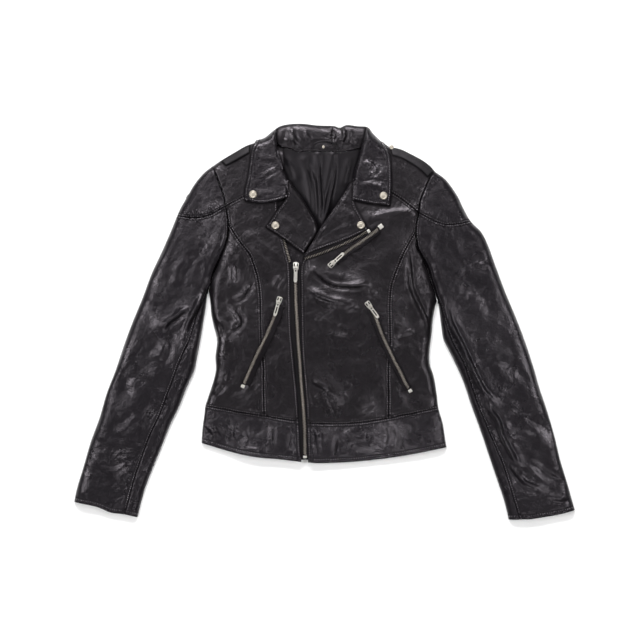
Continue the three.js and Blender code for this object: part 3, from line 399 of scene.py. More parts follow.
def nearest(line, x, y):
    """For each place: distance to the line, how far along it, its third number, and the side (+1 left)."""
    x, y = np.asarray(x, float), np.asarray(y, float)
    a, d = line[:-1], np.diff(line, axis=0)
    size = np.maximum((d[:, :2] ** 2).sum(1), 1e-9)
    sums = lengths(line)
    rows = []
    for px, py in zip(
        np.array_split(x.ravel(), x.size // 4000 + 1), np.array_split(y.ravel(), x.size // 4000 + 1)
    ):
        qx, qy = px[:, None] - a[:, 0], py[:, None] - a[:, 1]
        t = np.clip((qx * d[:, 0] + qy * d[:, 1]) / size, 0, 1)
        gap = (qx - t * d[:, 0]) ** 2 + (qy - t * d[:, 1]) ** 2
        j = gap.argmin(1)
        i = np.arange(len(j))
        t = t[i, j]
        side = np.sign(d[j, 0] * (qy[i, j] - t * d[j, 1]) - d[j, 1] * (qx[i, j] - t * d[j, 0]))
        rows.append(
            np.stack([np.sqrt(gap[i, j]), sums[j] + t * np.sqrt(size[j]), a[j, 2] + t * d[j, 2], side])
        )
    return [row.reshape(x.shape) for row in np.concatenate(rows, 1)]


def stretch(line, a, b):
    """The stretch of the line between its places nearest to the points a and b, in that order."""
    low, high = (float(nearest(line, *np.array([p[:2]], float).T)[1][0]) for p in (a, b))
    sums = lengths(line)
    inner = sums[(sums > min(low, high) + 0.05) & (sums < max(low, high) - 0.05)]
    distances = np.concatenate([[min(low, high)], inner, [max(low, high)]])
    return at(line, distances if low < high else distances[::-1])


TABLES = {
    "side": SIDE, "armhole": ARMHOLE, "shoulder": SHOULDER, "princess": PRINCESS, "zip": ZIP_EDGE,
    "neck": NECK_EDGE, "yoke": YOKE, "waist": WAIST, "hem": HEM, "front": BAND_FRONT, "outer": SLEEVE_OUT,
    "inner": SLEEVE_IN, "arm": ARM_SEAM, "patch": PATCH_SEAM, "cuff": CUFF
}
L = {side: {name: smooth(table[side]) for name, table in TABLES.items()} for side in SIDES}
NECK_LINE, COLLAR_LINE = smooth(NECK_SEAM), smooth(COLLAR_TOP)
print("princess seams", [round(float(lengths(L[s]["princess"])[-1])) for s in SIDES], "mm long")

# %% [markdown]
# ## How the garment lies
#
# `rounded` is a quarter of an ellipse: a layer leaves its fold upright and flattens out over the
# width of the roll. Where a place is near two folds, the lower one wins, one after the other, so
# a shoulder tip stays soft.

# %% Heights
ROLL, UNDER_ROLL = 17.0, 3.6
BODY_RISE, HEM_RISE = 19.0, 13.0


def rounded(t):
    return np.sqrt(1 - (1 - np.minimum(t, 1)) ** 2)


def eased(value, low, high):
    t = np.clip((value - low) / (high - low), 0, 1)
    return t * t * (3 - 2 * t)


def ridges(table, x, y):
    """Soft ridges, each from one place to another, as high and as wide as the table says."""
    z = np.zeros_like(x)
    for (ax, ay), (bx, by), high, wide in table:
        size = math.hypot(bx - ax, by - ay)
        dx, dy = (bx - ax) / size, (by - ay) / size
        along = (x - ax) * dx + (y - ay) * dy
        beyond = np.maximum(0, np.maximum(-along, along - size))
        z += high * np.exp(-(((x - ax) * dy - (y - ay) * dx) / wide) ** 2 - (beyond / wide) ** 2)
    return z


def body_plateau(x, y):
    return HEM_RISE + (BODY_RISE - HEM_RISE) * eased(y, -230, 0)


def sleeve_plateau(x, y):
    return HEM_RISE + (BODY_RISE - 0.5 - HEM_RISE) * eased(y, -340, 0)


def top_lie(edges, plateau, table=()):
    """Height of a top layer that turns down at each (line, width) of edges."""

    def height(x, y):
        z = plateau(x, y) + ridges(table, x, y)
        for line, wide in edges:
            gap, _, base, _ = nearest(line, x, y)
            low = np.minimum(base, z)
            z = low + (z - low) * rounded(gap / wide)
        return z

    return height


def under_lie(folds):
    """Height of a layer that lies on the table and curls up to its folds."""

    def height(x, y):
        gap = np.min([nearest(line, x, y)[0] for line in folds], axis=0)
        return FOLD_Z * (1 - rounded(gap / UNDER_ROLL))

    return height


BODY_FOLDS = [L[s][k] for s in SIDES for k in ("side", "shoulder")]
body_top = top_lie(
    [(f, ROLL) for f in BODY_FOLDS] + [(L[s]["armhole"], ROLL) for s in SIDES], body_plateau, FOLDS
)
body_under = under_lie(BODY_FOLDS)
sleeve_top = {
    s: top_lie([(L[s][k], ROLL) for k in ("outer", "inner", "armhole")], sleeve_plateau, FOLDS)
    for s in SIDES
}
sleeve_under = {s: under_lie([L[s]["outer"], L[s]["inner"]]) for s in SIDES}
collar_under = under_lie([COLLAR_LINE])
band_top = top_lie([(COLLAR_LINE, ROLL)], lambda x, y: 6 + 6 * eased(y, 304, 330))

# %% [markdown]
# ## Creases, puckers and unevenness
#
# Leather keeps the marks of how it was worn. Long creases run from the armpits and the zip, and
# each has a crest that catches the light and a trough on one side of it. They are placed one by
# one: points, height of the crest, width, and on which side the trough is (+1 is left of the way
# it runs). Where thread pulls a seam together, the leather on both sides puckers every centimetre.

# %% Creases
CREASES = {
    "body": [
        # wearer's left front
        ([(166, 195), (136, 199), (109, 195), (82, 184)], 0.45, 3.6, -1),
        ([(121, 184), (100, 184), (82, 172)], 0.35, 3.6, -1),
        ([(-26, 103), (1, 76), (22, 67), (86, 66)], 2.6, 4.2, -1),
        ([(-36, 68), (-17, 53), (10, 41), (55, 33)], 1.8, 5.5, -1),
        ([(37, 22), (61, 26)], 1.0, 5, -1),
        ([(85, 55), (93, 47)], 1.2, 4, -1),
        ([(-22, -105), (-4, -116), (8, -123)], 1.6, 4.5, -1),
        ([(-8, -122), (10, -141), (22, -168)], -1.4, 6, 0),
        ([(66, -162), (92, -147)], 1.4, 5, -1),
        ([(150, 132), (152, 102), (156, 62), (163, 44), (172, 24), (181, 3), (190, -12)], 2.4, 4.2, 1),
        ([(170, 130), (181, 107)], 1.4, 4.5, 1),
        ([(127, -24), (163, -15)], 1.2, 5, -1),
        ([(118, -26), (131, -48)], 1.2, 4.5, 1),
        ([(-30, 20), (10, -8), (50, -20)], 0.9, 9, -1),
        ([(20, -60), (60, -80), (95, -70)], 0.8, 10, 1),
        # wearer's right front
        ([(-176, 31), (-159, 12), (-152, -1), (-161, -10), (-176, -17)], 2.2, 4.5, 1),
        ([(-168, 42), (-152, 44), (-141, 57), (-137, 71)], 1.8, 4.5, -1),
        ([(-166, 104), (-168, 64)], 1.4, 5.5, 1),
        ([(-193, -4), (-188, -32)], 1.6, 4.5, 1),
        ([(-202, -131), (-184, -109)], 1.6, 5, -1),
        ([(-163, -133), (-148, -131), (-137, -120), (-125, -104)], 1.5, 4.5, -1),
        ([(-93, 60), (-78, 84)], 1.3, 4, -1),
        ([(-84, 56), (-72, 78)], 1.1, 4, -1),
        ([(-155, 167), (-112, 138), (-71, 106)], 1.0, 7, -1),
        ([(-150, -60), (-128, -84), (-118, -110)], 0.9, 8, 1),
        ([(-200, 8), (-182, -4), (-170, -22)], 1.2, 6, 1),
    ],
    "band": [
        ([(-96, -184), (-96, -224)], 1.3, 3.6, 1),
        ([(-166, -184), (-166, -215)], 1.2, 3.6, 1),
        ([(-210, -186), (-200, -200), (-197, -216)], 1.5, 4, 1),
        ([(-145, -228), (-112, -231)], 0.8, 3.2, -1),
        ([(-134, -186), (-136, -212)], 0.8, 4.5, -1),
        ([(-60, -196), (-64, -236)], 0.7, 5, 1),
        ([(-16, -190), (-12, -216), (-9, -245)], 1.4, 3.6, -1),
        ([(-4, -195), (1, -215)], 1.0, 3.5, -1),
        ([(22, -203), (15, -245)], 1.2, 3.8, 1),
        ([(37, -194), (37, -228)], 1.0, 3.8, -1),
        ([(73, -194), (73, -215)], 1.0, 3.6, 1),
        ([(104, -184), (112, -204), (108, -228)], 1.3, 3.2, 1),
        ([(124, -182), (130, -206), (124, -230)], 1.2, 3.2, -1),
        ([(160, -176), (166, -200)], 0.8, 4.5, -1),
        ([(196, -172), (200, -205)], 1.0, 5, 1),
    ],
    "sleeve_right": [
        ([(-204, 80), (-213, 58), (-224, 39), (-230, 26), (-240, 8), (-248, -12), (-252, -36)], 2.6, 4.5, 1),
        ([(-240, 27), (-256, 19), (-269, 8), (-282, -1), (-292, -17)], 2.2, 5, 1),
        ([(-287, -33), (-300, -73)], 1.4, 9, 1),
        ([(-350, -88), (-359, -114), (-352, -140)], -1.8, 11, 0),
        ([(-240, 120), (-262, 96), (-270, 60)], 1.0, 9, 1),
        ([(-330, -160), (-352, -190), (-380, -200)], 1.0, 9, -1),
        ([(-352, -262), (-380, -270), (-412, -258)], 1.0, 7, -1),
        ([(-306, -146), (-322, -170), (-330, -200)], 0.9, 6, 1),
    ],
    "sleeve_left": [
        ([(215, 32), (228, -6), (244, -37), (258, -67), (271, -96), (285, -123), (294, -134), (309, -150)],
         2.8, 4.4, 1),
        ([(291, -138), (298, -159), (310, -176), (321, -208), (330, -226), (341, -246), (350, -264)],
         2.6, 4.2, 1),
        ([(334, -252), (341, -267), (352, -280), (363, -291), (379, -298), (390, -306)], 2.2, 4.0, -1),
        ([(368, -247), (388, -267), (406, -280), (438, -291)], -2.0, 7, 0),
        ([(308, -62), (345, -90), (380, -121)], -1.2, 12, 0),
        ([(376, -174), (396, -192), (416, -210)], -1.3, 10, 0),
        ([(264, 112), (280, 102), (298, 96)], 1.4, 5, -1),
        ([(400, -312), (424, -318), (436, -314)], 1.2, 5, -1),
        ([(250, 60), (276, 30), (290, -6)], 1.0, 9, 1),
    ],
    "collar_right": [
        ([(-112, 258), (-100, 268), (-84, 276)], 1.4, 3.6, -1),
        ([(-118, 300), (-104, 292), (-90, 290)], 0.8, 5, -1),
        ([(-136, 236), (-112, 230), (-84, 232)], 0.3, 5, 1),
    ],
    "collar_left": [
        ([(68, 288), (84, 282), (98, 262)], 1.3, 3.6, 1),
        ([(78, 262), (90, 268), (102, 286)], 1.1, 3.4, -1),
        ([(60, 240), (84, 246), (112, 238)], 0.8, 5, 1),
    ],
    "collar_band": [
        ([(-60, 350), (-55, 330), (-46, 316)], 1.3, 3.4, 1),
        ([(-37, 343), (-30, 332), (-24, 325)], 1.3, 3.2, 1),
        ([(17, 352), (16, 334), (14, 320)], -1.6, 4, 0),
        ([(32, 350), (36, 336), (30, 322)], 1.5, 3.6, 1),
        ([(-4, 342), (8, 338), (20, 344)], 0.9, 4, -1),
        ([(54, 344), (50, 330), (56, 318)], -1.2, 4, 0),
        ([(-72, 346), (-70, 326)], -1.0, 4, 0),
    ],
    "lapel_right": [
        ([(-2, 172), (-24, 190), (-40, 216)], 0.8, 4, 1),
        ([(-84, 190), (-64, 178), (-48, 160)], 0.6, 7, 1),
    ],
    "lapel_left": [
        ([(6, 172), (-12, 154), (-20, 138)], 1.6, 3.6, 1),
        ([(26, 206), (44, 192), (60, 186)], 0.7, 7, 1),
        ([(10, 160), (34, 168), (52, 176)], 0.8, 6, -1),
    ],
    "lining": [],
}
# Pleats of the satin back lining and its folds into the neck seam.
LINING_PLEATS = [
    ([(-12, 300), (-11, 262), (-8, 220), (-6, 150)], 3.2, 4.2, 1),
    ([(20, 300), (17, 262), (8, 222), (-1, 178), (-3, 140)], 3.6, 4.4, -1),
    ([(-40, 290), (-30, 262), (-25, 230), (-24, 190)], 2.2, 5, 1),
    ([(-70, 300), (-54, 276), (-46, 250)], 1.8, 6, -1), ([(44, 298), (38, 270), (30, 240)], 1.6, 6, 1),
    ([(-30, 284), (-20, 272), (-16, 250)], 1.5, 4, -1)
]
CREASES["lining"] = LINING_PLEATS
# Where a seam is drawn in hard, short folds stand across it: (line, first, last, apart, length to
# one side, height, width), in mm along the seam.
GATHERS = {
    "sleeve_right": [
        (PATCH_SEAM["right"], 14, 98, 5.6, 15, 2.0, 1.8), (PATCH_SEAM["right"], 10, 90, 6.5, -8, 1.0, 1.9),
        (ARM_SEAM["right"], 20, 250, 9.5, 9, 1.3, 2.6)
    ],
    "sleeve_left": [
        (PATCH_SEAM["left"], 12, 70, 6.0, 10, 1.3, 1.9), (ARM_SEAM["left"], 40, 300, 11.0, 9, 1.1, 2.8)
    ],
    "band": [(WAIST["left"], 6, 250, 7.5, 14, 0.6, 2.0), (WAIST["right"], 6, 180, 8.0, 13, 0.6, 2.0)],
    "body": [
        (WAIST["left"], 30, 250, 8.0, -9, 0.7, 2.0), (WAIST["right"], 6, 180, 9.0, -9, 0.7, 2.0),
        (PRINCESS["right"], 20, 330, 8.5, 9, 1.1, 2.2), (PRINCESS["left"], 40, 300, 9.0, -9, 1.1, 2.2)
    ]
}
for zone, rows in GATHERS.items():
    for points, first, last, apart, reach, high, wide in rows:
        run = smooth(points)
        for k, mark in enumerate(np.arange(first, min(last, lengths(run)[-1] - 5), apart)):
            start = mark + 2.3 * math.sin(2.4 * k)
            a, b = at(run, start)[:2], at(run, start + 1)[:2]
            d = (b - a) / math.hypot(*(b - a))
            sideways = np.array([-d[1], d[0]]) * reach * (0.7 + 0.3 * math.sin(5.1 * k))
            tip = a + sideways + d * 2.5 * math.sin(1.7 * k)
            tall = high * (0.75 + 0.25 * math.sin(3.3 * k))
            CREASES[zone].append(([tuple(a), tuple(tip)], tall, wide, 1))
CREASES = {zone: [(smooth(p, 4), *rest) for p, *rest in rows] for zone, rows in CREASES.items()}


def creased(zone, x, y, gain=1.0):
    """Height of a zone's creases: a crest, and a trough beside it, both fading at their ends."""
    z = np.zeros_like(x)
    for line, high, wide, side in CREASES.get(zone, []):
        reach = 4.5 * wide
        near = ((x > line[:, 0].min() - reach) & (x < line[:, 0].max() + reach)
                & (y > line[:, 1].min() - reach) & (y < line[:, 1].max() + reach))
        if not near.any():
            continue
        gap, along, _, left = nearest(line, x[near], y[near])
        total = lengths(line)[-1]
        fade = eased(along, -0.02 * total, 0.3 * total) * eased(total - along, -0.02 * total, 0.3 * total)
        s = gap / wide * left
        trough = 0.6 * np.exp(-(((s - 1.5 * side) / 0.8) ** 2)) if side else 0
        z[near] += gain * high * fade * (np.exp(-(s**2)) - trough)
    return z


def cloudy(x, y, size, seed):
    """Soft random heights between -1 and 1 that change over about size mm."""
    u, v = x / size + 500, y / size + 500
    i, j = np.floor(u), np.floor(v)
    f, g = u - i, v - j
    f, g = f * f * (3 - 2 * f), g * g * (3 - 2 * g)

    def corner(a, b):
        n = np.sin((i + a) * 127.1 + (j + b) * 311.7 + seed * 74.7) * 43758.5453
        return 2 * (n - np.floor(n)) - 1

    return (corner(0, 0) * (1 - f) * (1 - g) + corner(1, 0) * f * (1 - g)
            + corner(0, 1) * (1 - f) * g + corner(1, 1) * f * g)


def uneven(x, y, seed, amount):
    """The slack of a panel: broad swells, and finer crinkles that come and go."""
    crinkle = cloudy(x, y, 9, seed + 1) * (0.35 + 0.65 * eased(cloudy(x, y, 46, seed + 2), -0.2, 0.7))
    bent = cloudy(x + 6 * cloudy(x, y, 22, seed + 3), y + 6 * cloudy(x, y, 25, seed + 4), 17, seed + 5)
    fine = cloudy(x + 3 * crinkle, y + 3 * bent, 6, seed + 6) * eased(cloudy(x, y, 34, seed + 7), -0.1, 0.6)
    swell = 1.9 * cloudy(x, y, 62, seed) + 0.9 * cloudy(x, y, 31, seed + 8)
    return amount * (swell + 0.42 * crinkle + 0.6 * bent + 0.3 * fine)


# How a kind of edge looks: depth of the dip at it, height of its puckers, and where its rows of
# topstitching sit, in mm from the edge.
EDGES = {
    "fold": (0.0, 0.0, ()), "roll": (0.0, 0.0, ()), "plain": (0.7, 0.0, ()), "seam": (0.8, 0.30, ()),
    "single": (0.8, 0.42, (4.2,)), "double": (0.8, 0.5, (4.4,)), "hem": (0.8, 0.22, (8.5,)),
    "edge": (0.9, 0.28, (5.8,)), "placket": (0.8, 0.22, (5.5,))
}


def seamed(edges, x, y):
    """Dips and puckers beside the four edges of a panel; and for each place the distance from the
    nearest row of stitches, how far along its seam it is, and how much painted shade it gets from
    the seam's groove, from 0 to 1."""
    z, groove_shade = np.zeros_like(x), np.zeros_like(x)
    off, run = np.full(x.shape, 9.0), np.zeros_like(x)
    for line, kind in edges:
        dip, pucker, rows = EDGES[kind]
        if not dip:
            continue
        gap, along, _, _ = nearest(line, x, y)
        z -= 1.5 * dip * np.exp(-((gap / 1.5) ** 2))
        # Painted shade: a mask that darkens the sheen in the seam's groove.
        groove_shade = np.maximum(groove_shade, np.exp(-((gap / 1.3) ** 2)))
        for row in rows:
            z -= 0.4 * np.exp(-(((gap - row) / 1.0) ** 2))
            closer = np.abs(gap - row) < np.abs(off)
            off, run = np.where(closer, gap - row, off), np.where(closer, along, run)
        if kind in ("edge", "hem", "placket"):
            z += 0.55 * np.exp(-(((gap - rows[0] / 2) / (0.3 * rows[0])) ** 2))
        if pucker:
            slow = np.sin(along / 1.55 + 2.2 * np.sin(along / 29))
            fast = np.sin(along / 1.02 + 1.4 * np.sin(along / 16))
            beat = 0.6 * slow + 0.4 * fast
            patchy = np.sin(along / 37 + line[0, 0]) + 0.6 * np.sin(along / 13)
            strength = 0.35 + 0.65 * eased(patchy, -0.6, 1.0)
            reach = 5.0 + (rows[-1] if rows else 0)
            z += 1.5 * pucker * beat * strength * np.exp(-gap / reach) * (1 - np.exp(-gap / 1.0))
    return z, np.stack([off, run, groove_shade], -1)


# %% [markdown]
# ## Building a panel
#
# The plan is a Coons net: straight blends between the four edge lines, with rows and columns set
# closer together beside folds and seams, where the height changes fastest. The wall is put on
# inwards, square to the surface, and closed round the rim, so each panel is one closed skin of
# leather as thick as the real hide with its backing.

# %% Panels
# Thickness of the leather, and half the space between two panels at a seam.
WALL, GAP = 1.3, 0.17
# How far in from an edge the first rows of a net lie.
LEADS = {"fold": ROLL * (1 - np.cos(np.radians([9, 18, 27, 36, 46, 57, 70, 84]))),
         "other": np.array([0.45, 1.0, 1.7, 2.6, 3.6, 5.0, 7.0])}
# The surfaces laid so far, to find what lies under a place, and what is kept of each panel.
SKINS, PANELS = {}, {}


def lead(kind):
    """How far in the first rows lie beside an edge of a kind."""
    return LEADS["fold" if kind == "fold" else "other"]


def ladder(total, n, first, last):
    """n steps along a length, closer together at both ends."""
    head, tail = lead(first), lead(last)
    squeeze = min(1, 0.42 * total / max(head[-1], tail[-1]))
    head, tail = head * squeeze, total - tail[::-1] * squeeze
    middle = np.linspace(head[-1], tail[0], n - len(head) - len(tail) + 1)[1:-1]
    return np.concatenate([[0], head, middle, tail, [total]])


def net(start, end, foot, top, step):
    """Plan of a panel: rows of places between its edges, each given as (line, kind)."""
    kinds = [kind for _, kind in (start, end, foot, top)]

    def count(a, b, x, y):
        longest = max(lengths(a)[-1], lengths(b)[-1])
        return max(int(longest / step), 4) + len(lead(x)) + len(lead(y))

    columns = count(foot[0], top[0], kinds[0], kinds[1])
    rows = count(start[0], end[0], kinds[2], kinds[3])
    F, T = (ladder(lengths(e[0])[-1], columns, kinds[0], kinds[1]) for e in (foot, top))
    S, E = (ladder(lengths(e[0])[-1], rows, kinds[2], kinds[3]) for e in (start, end))
    f, t, s, e = (at(line[0], d)[:, :2] for line, d in ((foot, F), (top, T), (start, S), (end, E)))
    f[0], f[-1], t[0], t[-1] = s[0], e[0], s[-1], e[-1]
    v = ((S / S[-1] + E / E[-1]) / 2)[:, None]
    u = (F / F[-1])[None] * (1 - v) + (T / T[-1])[None] * v
    u, v = u[..., None], v[..., None]
    plan = f[None] * (1 - v) + t[None] * v + s[:, None] * (1 - u) + e[:, None] * u
    return plan - (s[0] * (1 - u) + e[0] * u) * (1 - v) - (s[-1] * (1 - u) + e[-1] * u) * v


def unit(v):
    """Vectors with their length made one."""
    return v / np.maximum(np.linalg.norm(v, axis=-1, keepdims=True), 1e-12)


def square_to(points, up):
    """The way out of a surface given as rows of points."""
    n = unit(np.cross(np.gradient(points, axis=1), np.gradient(points, axis=0)))
    return n * np.where(n[..., 2:] * up < 0, -1, 1)


def mesh(name, vertices, faces, material, body="jacket", smooth_faces=True):
    """An object from millimetre vertices that rides a body."""
    name = f"{name}_piece" if name in frame["nodes"] else name
    data = bpy.data.meshes.new(name)
    data.from_pydata(
        (np.asarray(vertices) * MM).tolist(), [], faces if isinstance(faces, list) else faces.tolist()
    )
    data.polygons.foreach_set("use_smooth", [smooth_faces] * len(data.polygons))
    data.materials.append(material)
    obj = bpy.data.objects.new(name, data)
    bpy.context.scene.collection.objects.link(obj)
    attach(obj, body)
    return obj


def below(x, y, high=60.0):
    """Height of the highest layer laid so far at a place, or None."""
    best = None
    for tree, lo, hi in SKINS.values():
        if lo[0] <= x <= hi[0] and lo[1] <= y <= hi[1]:
            hit = tree.ray_cast(Vector((x, y, high)), Vector((0, 0, -1)))
            if hit[0] is not None and (best is None or hit[0].z > best[0].z):
                best = hit
    return best


def bar_faces(rows, n):
    """Faces of a bar with closed ends, made of rows of n places each."""
    faces = [[r * n + s, r * n + (s + 1) % n, (r + 1) * n + (s + 1) % n, (r + 1) * n + s]
             for r in range(rows - 1) for s in range(n)]
    return faces + [list(range(n))[::-1], [(rows - 1) * n + s for s in range(n)]]


def loft(stations, section):
    """Vertices and faces of a closed bar along x: stations are (x, scale), section is (y, z)."""
    rings = [[(x, y * k, z * k) for y, z in section] for x, k in stations]
    return np.array([p for ring in rings for p in ring]), bar_faces(len(stations), len(section))


def copies(name, shape, frames, material, body="jacket"):
    """One piece made of a small shape set down at many frames, each (place, x, y and z directions)."""
    points, faces = shape
    vertices = np.concatenate([np.asarray(place) + points @ np.array(axes) for place, *axes in frames])
    many = [[v + k * len(points) for v in face] for k in range(len(frames)) for face in faces]
    return mesh(name, vertices, many, material, body)


def ring(n, ry, rz):
    """n places round an oval, as a section for loft."""
    return [(ry * math.cos(2 * math.pi * k / n), rz * math.sin(2 * math.pi * k / n)) for k in range(n)]


# From one stitch to the next, and the shape of a stitch.
PITCH = 4.2
STITCH = loft([(-1.5, 0.4), (-1.1, 1), (1.1, 1), (1.5, 0.4)], ring(6, 0.5, 0.3))


def stitches(name, edges):
    """Rows of topstitching beside the edges of a panel, each stitch lying in its own dimple."""
    tree = SKINS[name][0]
    frames = []
    for line, kind in edges:
        for row in EDGES[kind][2]:
            marks = np.arange(PITCH * 0.7, lengths(line)[-1], PITCH)
            places, ahead = at(line, marks)[:, :2], at(line, marks - 0.5)[:, :2]
            for place, dx, dy in np.column_stack([np.arange(len(marks)), unit(places - ahead)]):
                for side in (1, -1):
                    p = places[int(place)] + np.array([-dy, dx]) * side * row
                    spot = tree.ray_cast(Vector((*p, 60)), Vector((0, 0, -1)))
                    if spot[0] is None:
                        continue
                    up = np.array(spot[1]) * (1 if spot[1].z > 0 else -1)
                    along = unit(np.array([dx, dy, 0]) - up * up.dot([dx, dy, 0]))
                    frames.append((np.array(spot[0]) + up * 0.08, along, np.cross(up, along), up))
    if frames:
        PANELS[name]["with"].append(copies(f"topstitch_{name}", STITCH, frames, THREAD))


def area_of(net_points):
    """Area of a net of quads."""
    a, b, c, d = net_points[:-1, :-1], net_points[:-1, 1:], net_points[1:, 1:], net_points[1:, :-1]
    return 0.5 * sum(
        np.linalg.norm(np.cross(q - p, r - p), axis=-1).sum()
        for p, q, r in ((a, b, c), (a, c, d))
    )


def cut_size(net_points):
    """Width, length and area of the flat piece a net was cut from: the smallest rectangle round its
    plan, made larger by what the surface measures more than its plan."""
    area = area_of(net_points)
    grown = math.sqrt(area / area_of(net_points * [1, 1, 0]))
    flat = net_points[..., :2].reshape(-1, 2)
    boxes = []
    for turn in np.radians(np.arange(0, 90, 2)):
        turned_plan = flat @ np.array([[math.cos(turn), -math.sin(turn)], [math.sin(turn), math.cos(turn)]])
        boxes.append(sorted(np.ptp(turned_plan, axis=0) * grown))
    width, length = min(boxes, key=lambda b: b[0] * b[1])
    return {"width": width, "length": length, "area": area}


def panel(
    name, edges, height, relief, material, folds=(), wall=WALL, up=1, step=2.6, over=0.0,
    off=0.0
):
    """One panel: edges are start, end, foot and top, each a (line, kind)."""
    plan = net(*edges, step)
    x, y = plan[..., 0], plan[..., 1]
    base = np.dstack([x, y, height(x, y)])
    border = np.ones(x.shape, bool)
    border[1:-1, 1:-1] = False
    gap = np.min([nearest(line, x, y)[0] for line in folds], axis=0) if folds else np.full(x.shape, 99.0)
    on_fold = border & (gap < 0.05)
    base[on_fold, 2] = FOLD_Z + up * GAP
    out = square_to(base, up)
    out[on_fold] = unit(out * [1, 1, 0])[on_fold]
    sewn, seam = seamed(edges, x, y)
    lift = (relief(x, y) + sewn) * eased(gap, 0, 12)
    outer = base + (np.array([0, 0, 1.0]) if over else out) * (lift + off)[..., None]
    if up < 0:
        outer[..., 2] = np.maximum(outer[..., 2], 0)
    # the border is taken back by half a seam
    for edge, inward in (
        (np.s_[:, 0], np.s_[:, 1]), (np.s_[:, -1], np.s_[:, -2]), (np.s_[0, :], np.s_[1, :]),
        (np.s_[-1, :], np.s_[-2, :])
    ):
        back = unit(outer[inward] - outer[edge]) * GAP
        outer[edge] = outer[edge] + back * ~on_fold[edge][:, None]
    if over:
        for j, i in np.ndindex(x.shape):
            found = below(outer[j, i, 0], outer[j, i, 1])
            if found is not None and not on_fold[j, i]:
                outer[j, i, 2] = max(outer[j, i, 2], found[0].z + over + wall)
        inner = outer - [0, 0, wall]
        inner[on_fold] = (outer - out * wall)[on_fold]
    else:
        inner = outer - out * wall
        if up < 0:
            inner[..., 2] = np.maximum(inner[..., 2], outer[..., 2] + 0.2 * wall)
    rows, columns = x.shape
    size = rows * columns
    k = np.arange(size).reshape(rows, columns)
    cells = np.stack([k[:-1, :-1], k[:-1, 1:], k[1:, 1:], k[1:, :-1]], -1).reshape(-1, 4)
    rim = np.concatenate([k[0], k[1:, -1], k[-1, -2::-1], k[-2:0:-1, 0]])
    after = np.roll(rim, -1)
    faces = np.vstack([cells, cells[:, ::-1] + size, np.stack([after, rim, rim + size, after + size], -1)])
    a, b, c = (outer.reshape(-1, 3)[cells[:, q]] for q in (0, 1, 3))
    if np.cross(b - a, c - a)[:, 2].sum() * up < 0:
        faces = faces[:, ::-1]
    obj = mesh(name, np.vstack([outer.reshape(-1, 3), inner.reshape(-1, 3)]), faces, material)
    if name in frame["nodes"]:
        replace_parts(obj, name)
    # The seam attribute: place of the stitch rows, place along the seam, and the painted shade of the
    # groove.
    mask = obj.data.attributes.new("seam", "FLOAT_VECTOR", "POINT")
    mask.data.foreach_set("vector", np.tile(seam.reshape(-1, 3), (2, 1)).astype(np.float32).ravel())
    if up > 0:
        tree = BVHTree.FromPolygons([tuple(p) for p in outer.reshape(-1, 3)], cells.tolist())
        SKINS[name] = (tree, outer[..., :2].min((0, 1)), outer[..., :2].max((0, 1)))
    PANELS[name] = {"obj": obj, **cut_size(outer), "with": [], "rim": outer.reshape(-1, 3)[rim], "up": up}
    if up > 0:
        stitches(name, edges)
    return obj


# %% [markdown]
# ## Materials
#
# Black nappa is a dyed skin under a thin soft coat. It is nearly black itself, and what the eye
# sees is the light from above spread over its grain: so a dark base, a medium roughness that
# changes a little from place to place, and a bump of pebbled grain under a millimetre across, with
# finer wrinkles where the skin was creased. All sizes are in real millimetres.


# %% Shader helpers
def linear(code):
    """An sRGB hex colour as linear red, green and blue."""
    channels = [int(code[k : k + 2], 16) / 255 for k in (1, 3, 5)]
    return tuple(c / 12.92 if c <= 0.04045 else ((c + 0.055) / 1.055) ** 2.4 for c in channels) + (1.0,)


def node(tree, kind, inputs=(), **settings):
    """Adds a shader node; inputs maps a socket to a value or to another node's output."""
    made = tree.nodes.new("ShaderNode" + kind)
    for key, value in settings.items():
        setattr(made, key, value)
    for key, value in dict(inputs).items():
        if isinstance(value, bpy.types.NodeSocket):
            tree.links.new(value, made.inputs[key])
        else:
            made.inputs[key].default_value = value
    return made


def material(name, **surface):
    """A new material with a principled surface; returns the material, its tree and its shader."""
    made = bpy.data.materials.new(name)
    made.use_nodes = True
    tree = made.node_tree
    tree.nodes.clear()
    shader = node(tree, "BsdfPrincipled", surface)
    node(tree, "OutputMaterial", {"Surface": shader.outputs[0]})
    return made, tree, shader


def per_mm(size):
    """Texture scale for a pattern of that size in millimetres on coordinates in metres."""
    return 1000 / size


def mapped(tree, value, low, high, to_low, to_high):
    """A value with low to high stretched over to_low to to_high, and held there."""
    inputs = {"Value": value, "From Min": low, "From Max": high, "To Min": to_low, "To Max": to_high}
    return node(tree, "MapRange", inputs).outputs[0]


def maths(tree, operation, *values, **settings):
    return node(tree, "Math", dict(enumerate(values)), operation=operation, **settings).outputs[0]


def noise(tree, place, size, detail, more=(), **settings):
    """A noise with features of a size in millimetres."""
    inputs = {"Vector": place, "Scale": per_mm(size), "Detail": detail, **dict(more)}
    return node(tree, "TexNoise", inputs, **settings).outputs["Fac"]


def seam_place(tree):
    """What a panel knows of its seams at a place: mm from the row of stitches, mm along the seam,
    and how much painted shade it gets from the seam's groove and from edges lying beside it, from 0 to 1."""
    read = node(tree, "Attribute", attribute_name="seam").outputs["Vector"]
    return node(tree, "SeparateXYZ", {0: read}).outputs


# The sheen of black leather and black cloth has a little less green in it than the light.
TINT = (1.0, 0.92, 1.0, 1.0)
# A rubbed spot has its middle at this height, in metres.
RUB_HIGH = 0.018


